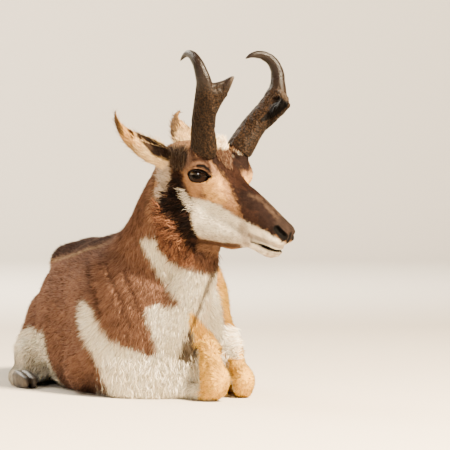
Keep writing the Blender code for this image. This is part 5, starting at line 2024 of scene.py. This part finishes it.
    def comb(self, tress: Tress) -> bpy.types.Object:
        """Makes one group of longer locks."""
        rng = np.random.default_rng(self.seed + 100 + TRESSES.index(tress))
        head = self.skin.head
        chance = self.areas * self.owned(tress.parts)
        if tress.outline:
            spots = self.matched_spots if tress.mirrored else self.own_spots
            chance = chance * (depth_inside(spots, np.array(tress.outline, float)) > 0)
            if not tress.mirrored:
                chance = chance * (self.facing @ self.markings.view.toward > 0.1)
        reach = head.measures(self.middles) if tress.of_head else self.middles - head.shift
        outward = np.sign(reach[:, 1] if tress.of_head else reach[:, 0])
        if tress.of_head:
            reach[:, 1] = np.abs(reach[:, 1])
        boxed = (reach >= np.array(tress.low)) & (reach <= np.array(tress.high))
        chance = chance * boxed.all(1)
        if tress.upward:
            chance = chance * eased(self.facing[:, 2] + 0.4 * self.facing[:, 1], 0.45, 0.8)
        ways = None
        if tress.way is not None:
            if tress.of_head:
                forward, left, crown = head.axes
                a, b, c = tress.way
                ways = a * forward + b * outward[:, None] * left + c * crown
            else:
                ways = np.tile(np.array(tress.way), (len(self.faces), 1))
        made = self.strands(chance, tress, rng, ways)
        if tress.tones:
            tones = np.array([linear(tone) for tone in tress.tones])
            chosen = tones[rng.integers(0, len(tones), len(made.roots))]
            made.tints = chosen * rng.normal(1.0, 0.08, len(made.roots))[:, None]
        return self.object_of(tress.name, made, LOCK_RINGS)

    def lashes(self) -> bpy.types.Object:
        """Makes the dark lashes along the upper lids."""
        rng = np.random.default_rng(self.seed + 300)
        roots = []
        ways = []
        for side in Side:
            lids = Lids(self.skin.head, side)
            along_way, across_way, gaze = lids.axes()
            for share in np.linspace(-0.75, 0.92, 90):
                along = share * lids.half_length
                high = lids.high * (1 - share * share) ** 0.55 + 0.0008
                flat = math.hypot(along, high)
                deep = math.sqrt(max((lids.head.globe + lids.rim) ** 2 - flat * flat, 1e-8))
                roots.append(lids.centre() + along * along_way + high * across_way + deep * gaze)
                ways.append(gaze * 1.0 + across_way * 0.35 + along_way * (0.35 + 0.3 * share))
        count = len(roots)
        ways = unit(np.array(ways) + rng.normal(0, 0.08, (count, 3)))
        across = np.cross(ways, [0.0, 0.0, 1.0])
        lashes = Strands(
            np.array(roots),
            unit(np.cross(across, ways)),
            ways,
            rng.uniform(0.0075, 0.0115, count),
            np.full(count, 0.0007),
            np.full(count, -0.35),
            np.full(count, 0.2),
            rng.uniform(0, 2 * math.pi, count),
            np.tile(linear(INK), (count, 1)),
        )
        return self.object_of("lashes", lashes, LOCK_RINGS)

    def object_of(self, name: str, strands: Strands, rings: tuple[tuple[float, float], ...]) -> bpy.types.Object:
        """Turns strands into one mesh of closed spikes.

        Args:
            name: The object's name.
            strands: The strands.
            rings: For each ring, its share of the length and its share of the width.

        Returns:
            The finished object.
        """
        count = len(strands.roots)
        levels = len(rings)
        corners = 3 * levels + 1
        tip = corners - 1
        pattern = [(0, 2, 1)]
        for ring in range(levels):
            for near, far in ((0, 2), (2, 1), (1, 0)):
                first, second = 3 * ring + near, 3 * ring + far
                if ring == levels - 1:
                    pattern.append((first, tip, second))
                else:
                    pattern.append((first, first + 3, second + 3))
                    pattern.append((first, second + 3, second))
        faces = (np.arange(count)[:, None, None] * corners + np.array(pattern)).reshape(-1, 3)
        points = strands.points(rings).reshape(-1, 3)
        mesh = bpy.data.meshes.new(name)
        mesh.vertices.add(len(points))
        mesh.vertices.foreach_set("co", points.astype(np.float32).ravel())
        mesh.loops.add(len(faces) * 3)
        mesh.loops.foreach_set("vertex_index", faces.astype(np.int32).ravel())
        mesh.polygons.add(len(faces))
        mesh.polygons.foreach_set("loop_start", np.arange(0, len(faces) * 3, 3, dtype=np.int32))
        mesh.update(calc_edges=True)
        smooth_shaded(mesh)
        level = np.concatenate([np.repeat([share for share, _ in rings], 3), [1.0]])
        # Each strand is darker at the root than at the tip: partly the hair's own tone, partly painted shade in the
        # gaps between strands.
        shade = self.root_shade + (self.tip_shade - self.root_shade) * level
        paint(mesh, TINT, (strands.tints[:, None, :] * shade[:, None]).reshape(-1, 3))
        layer = mesh.uv_layers.new(name=BAKE_MAP)
        spots = self.map_places(strands.roots)
        offsets = np.stack([np.array([*[0.0, 1.0, 0.5] * levels, 0.5]), level], 1)
        offsets = (offsets - 0.5) * self.patch_side
        at_vertices = (spots[:, None, :] + offsets).reshape(-1, 2)
        layer.data.foreach_set("uv", at_vertices[faces.ravel()].astype(np.float32).ravel())
        mesh.materials.append(self.finish)
        obj = bpy.data.objects.new(name, mesh)
        bpy.context.scene.collection.objects.link(obj)
        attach(obj, BODY)
        LOG.info("%s: %d strands, %d triangles", name, count, len(faces))
        return obj


# Horns, hooves and eyes


@dataclass
class Horn:
    """One horn, rough as bark below and smooth at its hooked tip."""

    side: Side
    view: Viewpoint
    grain: float = 0.0013
    ridge: float = 0.0009
    shaded_face: tuple[tuple[float, float], ...] = (
        (280, 95), (284, 99), (288, 101), (288, 106), (281, 112), (273, 118), (262, 122), (260, 120), (268, 112),
        (274, 104))
    worn_cap: tuple[tuple[float, float], ...] = ((279, 90), (282, 89), (289, 98), (289, 102), (284, 100), (280, 97))
    notch: tuple[tuple[float, float, float], ...] = (
        (211, 88, 0.0080), (214, 87, 0.0078), (217, 86, 0.0074), (220, 85, 0.0068), (223, 83.5, 0.0060),
        (211, 95, 0.0100), (215, 94, 0.0100), (219, 92, 0.0085), (212, 102, 0.0100), (216, 100, 0.0085),
        (212, 109, 0.0090), (214, 107, 0.0080), (211, 115, 0.0080))
    shoulder: tuple[tuple[float, float, float], ...] = (
        (278, 92.5, 0.0055), (279.5, 95.5, 0.0070), (280.5, 99, 0.0080), (280.5, 102, 0.0085), (278, 105, 0.0090),
        (275, 109, 0.0095), (271, 113, 0.0090))
    levels: tuple[float, ...] = (80, 90, 97, 104, 111, 120)
    shoves: tuple[float, ...] = (0, 2.0, 4.2, 4.2, 2.4, 0)

    def build(self) -> bpy.types.Object:
        """Makes the horn from its solid."""
        node = f"horn_{self.side.word}"
        horn = closed_copy(f"sheath_{self.side.word}", [node])
        self.fill_notch(horn)
        applied(horn, "REMESH", mode="VOXEL", voxel_size=self.grain, use_smooth_shade=True)
        applied(horn, "SMOOTH", factor=0.5, iterations=8)
        mesh = horn.data
        places = places_of(mesh)
        normals = normals_of(mesh)
        if self.side is Side.LEFT:
            reach = np.interp(self.view.spots(places)[:, 1], self.levels, self.shoves) / self.view.scale
            places += reach[:, None] * np.cross([0.0, 0.0, 1.0], self.view.toward)
        low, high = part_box(node)
        share = eased(places[:, 2], low.z + 0.55 * (high.z - low.z), low.z + 0.78 * (high.z - low.z))
        stretched = places * np.array([1.0, 1.0, 0.18])
        bark = 0.8 * ripples(stretched, 0.0035, 31) + 0.7 * ripples(places, 0.0022, 33)
        bark += 0.8 * np.maximum(ripples(places, 0.007, 35), 0)
        set_places(mesh, places + normals * (self.ridge * (1 - share) * bark)[:, None])
        spots = self.view.spots(places)
        shaded = eased(depth_inside(spots, np.array(self.shaded_face, float)), -0.4, 0.6)
        worn = eased(depth_inside(spots, np.array(self.worn_cap, float)) + ripples(places, 0.003, 37), -0.6, 1.0)
        if self.side is Side.RIGHT:
            shaded = np.zeros(len(places))
            worn = eased(spots[:, 0] + ripples(places, 0.003, 37), 229, 233) * (spots[:, 1] > 70)
        paint(mesh, HORN_SHARE, np.stack([share, shaded, worn], 1))
        mesh.materials.clear()
        mesh.materials.append(HornFinish(f"Horn {self.side.word}").build())
        smooth_shaded(mesh)
        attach(horn, BODY)
        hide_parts(node)
        return horn

    def fill_notch(self, horn: bpy.types.Object) -> None:
        """Fills the space between the beam and the prong, so that the prong grows out of a broad blade.

        Args:
            horn: The horn's mesh, not yet joined into one skin.
        """
        places = places_of(horn.data)
        spots = self.view.spots(places)
        balls = []
        for across, down, radius in self.notch if self.side is Side.RIGHT else self.shoulder:
            near = np.hypot(spots[:, 0] - across, spots[:, 1] - down - 4) < 9
            depths = (places[near] - self.view.target) @ self.view.toward
            depth = np.percentile(depths, 80) - 0.75 * radius
            bpy.ops.object.select_all(action="DESELECT")
            bpy.ops.mesh.primitive_uv_sphere_add(
                segments=24,
                ring_count=12,
                radius=radius,
                location=Vector(self.view.place(across, down, depth)),
            )
            bpy.ops.object.transform_apply(location=True)
            balls.append(bpy.context.active_object)
        bpy.ops.object.select_all(action="DESELECT")
        for ball in balls:
            ball.select_set(True)
        horn.select_set(True)
        bpy.context.view_layer.objects.active = horn
        bpy.ops.object.join()


@dataclass
class Hoof:
    """One cloven hoof."""

    name: str
    grain: float = 0.0013

    def build(self) -> bpy.types.Object:
        """Makes the hoof from its solid."""
        hoof = closed_copy(self.name.replace("hoof", "toes"), [self.name])
        applied(hoof, "REMESH", mode="VOXEL", voxel_size=self.grain, use_smooth_shade=True)
        applied(hoof, "SMOOTH", factor=0.5, iterations=4)
        places = places_of(hoof.data)
        places[:, 2] = np.maximum(places[:, 2], 0.0)
        set_places(hoof.data, places)
        hoof.data.materials.clear()
        hoof.data.materials.append(HoofFinish("Hoof").build())
        smooth_shaded(hoof.data)
        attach(hoof, BODY)
        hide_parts(self.name)
        return hoof


@dataclass
class Globe:
    """One eye: a dark brown globe with a wide, level pupil."""

    lids: Lids
    iris: float = 0.0155
    pupil_long: float = 0.0105
    pupil_high: float = 0.0055
    iris_tone: tuple[float, float, float] = (24, 13, 8)
    pupil_tone: tuple[float, float, float] = (3, 2, 2)
    white_tone: tuple[float, float, float] = (16, 10, 8)
    dry: float = 0.03
    wet: float = 0.8

    def build(self) -> bpy.types.Object:
        """Makes the globe at its solid's place."""
        side = self.lids.side
        bpy.ops.object.select_all(action="DESELECT")
        bpy.ops.mesh.primitive_uv_sphere_add(segments=96, ring_count=64, radius=self.lids.head.globe)
        globe = bpy.context.active_object
        globe.name = f"globe_{side.word}"
        mesh = globe.data
        local = places_of(mesh)
        spread_out = np.hypot(local[:, 0], local[:, 1])
        bulge = 0.0012 * (1 - eased(spread_out, 0.006, 0.0135)) * (local[:, 2] > 0)
        local = local * (1 + bulge / self.lids.head.globe)[:, None]
        front = local[:, 2] > 0
        pupil = np.hypot(local[:, 0] / self.pupil_long, local[:, 1] / self.pupil_high)
        colours = np.tile(linear(self.white_tone), (len(local), 1))
        ring = 1 - eased(spread_out, self.iris - 0.0006, self.iris + 0.0006)
        colours += (linear(self.iris_tone) - colours) * (ring * front)[:, None]
        dark = 1 - eased(pupil, 0.85, 1.1)
        colours += (linear(self.pupil_tone) - colours) * (dark * front)[:, None]
        paint(mesh, GLOBE_TINT, colours)
        wetness = self.dry + (self.wet - self.dry) * eased(local[:, 1], 0.0008, 0.0026)
        paint(mesh, GLOBE_WET, np.repeat(wetness[:, None], 3, axis=1))
        set_places(mesh, local @ self.lids.axes() + self.lids.centre())
        mesh.materials.append(GlobeFinish(f"Globe {side.word}").build())
        smooth_shaded(mesh)
        only(globe)
        bpy.ops.object.mode_set(mode="EDIT")
        bpy.ops.mesh.select_all(action="SELECT")
        bpy.ops.mesh.normals_make_consistent(inside=False)
        bpy.ops.object.mode_set(mode="OBJECT")
        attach(globe, BODY)
        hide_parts(f"eye_{side.word}")
        return globe


# The studio


@dataclass
class Studio:
    """The pale floor and backdrop, and soft light from the photo's side."""

    view: Viewpoint
    floor_radius: float = 9.0
    wall_curve: float = 3.0
    wall_height: float = 3.0
    ambient: float = 0.16
    key: float = 2950.0
    fill: float = 60.0
    rim: float = 320.0
    wall: float = 1800.0

    def build(self) -> None:
        """Adds the floor, the lights and the camera."""
        self.sweep()
        world = bpy.data.worlds.new("Studio")
        bpy.context.scene.world = world
        world.use_nodes = True
        background = world.node_tree.nodes["Background"]
        background.inputs["Color"].default_value = (*linear((240, 240, 236)), 1)
        background.inputs["Strength"].default_value = self.ambient
        self.lamp("Key", (1.1, -4.0, 3.6), 1.0, self.key, (255, 231, 194))
        self.lamp("Fill", (-3.4, -3.0, 1.8), 0.9, self.fill, (255, 250, 244))
        self.lamp("Rim", (-1.2, 3.2, 3.2), 2.0, self.rim, (255, 246, 230))
        self.lamp("Wall", (0.0, 4.5, 4.5), 4.0, self.wall, (255, 246, 232), (1.5, 12.0, 1.0))
        self.view.build()

    def sweep(self) -> None:
        """Adds the round floor, which curves up into a wall far behind everything."""
        bpy.ops.object.select_all(action="DESELECT")
        bpy.ops.mesh.primitive_circle_add(vertices=128, radius=self.floor_radius, fill_type="NGON")
        floor = bpy.context.active_object
        floor.name = "floor"
        bpy.ops.object.mode_set(mode="EDIT")
        bpy.ops.mesh.select_mode(type="EDGE")
        bpy.ops.mesh.select_all(action="DESELECT")
        bpy.ops.mesh.select_non_manifold()
        steps = 16
        before = (0.0, self.floor_radius)
        for step in range(1, steps + 1):
            angle = 0.5 * math.pi * step / steps
            height = self.wall_curve * (1 - math.cos(angle))
            radius = self.floor_radius + self.wall_curve * math.sin(angle)
            bpy.ops.mesh.extrude_edges_move(TRANSFORM_OT_translate={"value": (0, 0, height - before[0])})
            bpy.ops.transform.resize(value=(radius / before[1], radius / before[1], 1.0))
            before = (height, radius)
        bpy.ops.mesh.extrude_edges_move(TRANSFORM_OT_translate={"value": (0, 0, self.wall_height)})
        bpy.ops.object.mode_set(mode="OBJECT")
        smooth_shaded(floor.data)
        floor.data.materials.append(FloorFinish("Floor").build())

    def lamp(
        self,
        name: str,
        place: tuple[float, float, float],
        size: float,
        power: float,
        tone: tuple[float, float, float],
        aim: tuple[float, float, float] = (0.0, -0.1, 0.3),
    ) -> None:
        """Adds one soft lamp.

        Args:
            name: The lamp's name.
            place: Where it hangs.
            size: The side of its square face.
            power: Its strength in watts.
            tone: The colour of its light.
            aim: The place that it faces.
        """
        data = bpy.data.lights.new(name, "AREA")
        data.size = size
        data.energy = power
        data.color = tuple(linear(tone))
        lamp = bpy.data.objects.new(name, data)
        bpy.context.scene.collection.objects.link(lamp)
        lamp.location = place
        way = Vector(place) - Vector(aim)
        lamp.rotation_euler = way.to_track_quat("Z", "Y").to_euler()


def main() -> None:
    """Builds the dressed animal and its studio."""
    logging.basicConfig(level=logging.INFO, format="%(message)s")
    head = HeadFrame()
    view = Viewpoint(head.shift)
    markings = Markings(head, view, Symmetry(head))
    Studio(view).build()
    skin = Skin(head, view, markings)
    hide = skin.build()
    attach(hide, BODY)
    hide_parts(*[part.value for part in FLESH])
    LOG.info("skin: %d faces", len(hide.data.polygons))
    coat = Coat(skin, markings)
    coat.prepare()
    for patch in PATCHES:
        coat.grow(patch)
    for tress in TRESSES:
        coat.comb(tress)
    coat.lashes()
    for side in Side:
        Horn(side, view).build()
        Globe(Lids(head, side)).build()
        for kind in ("fore", "hind"):
            Hoof(f"hoof_{kind}_{side.word}").build()


if __name__ == "__main__":
    main()
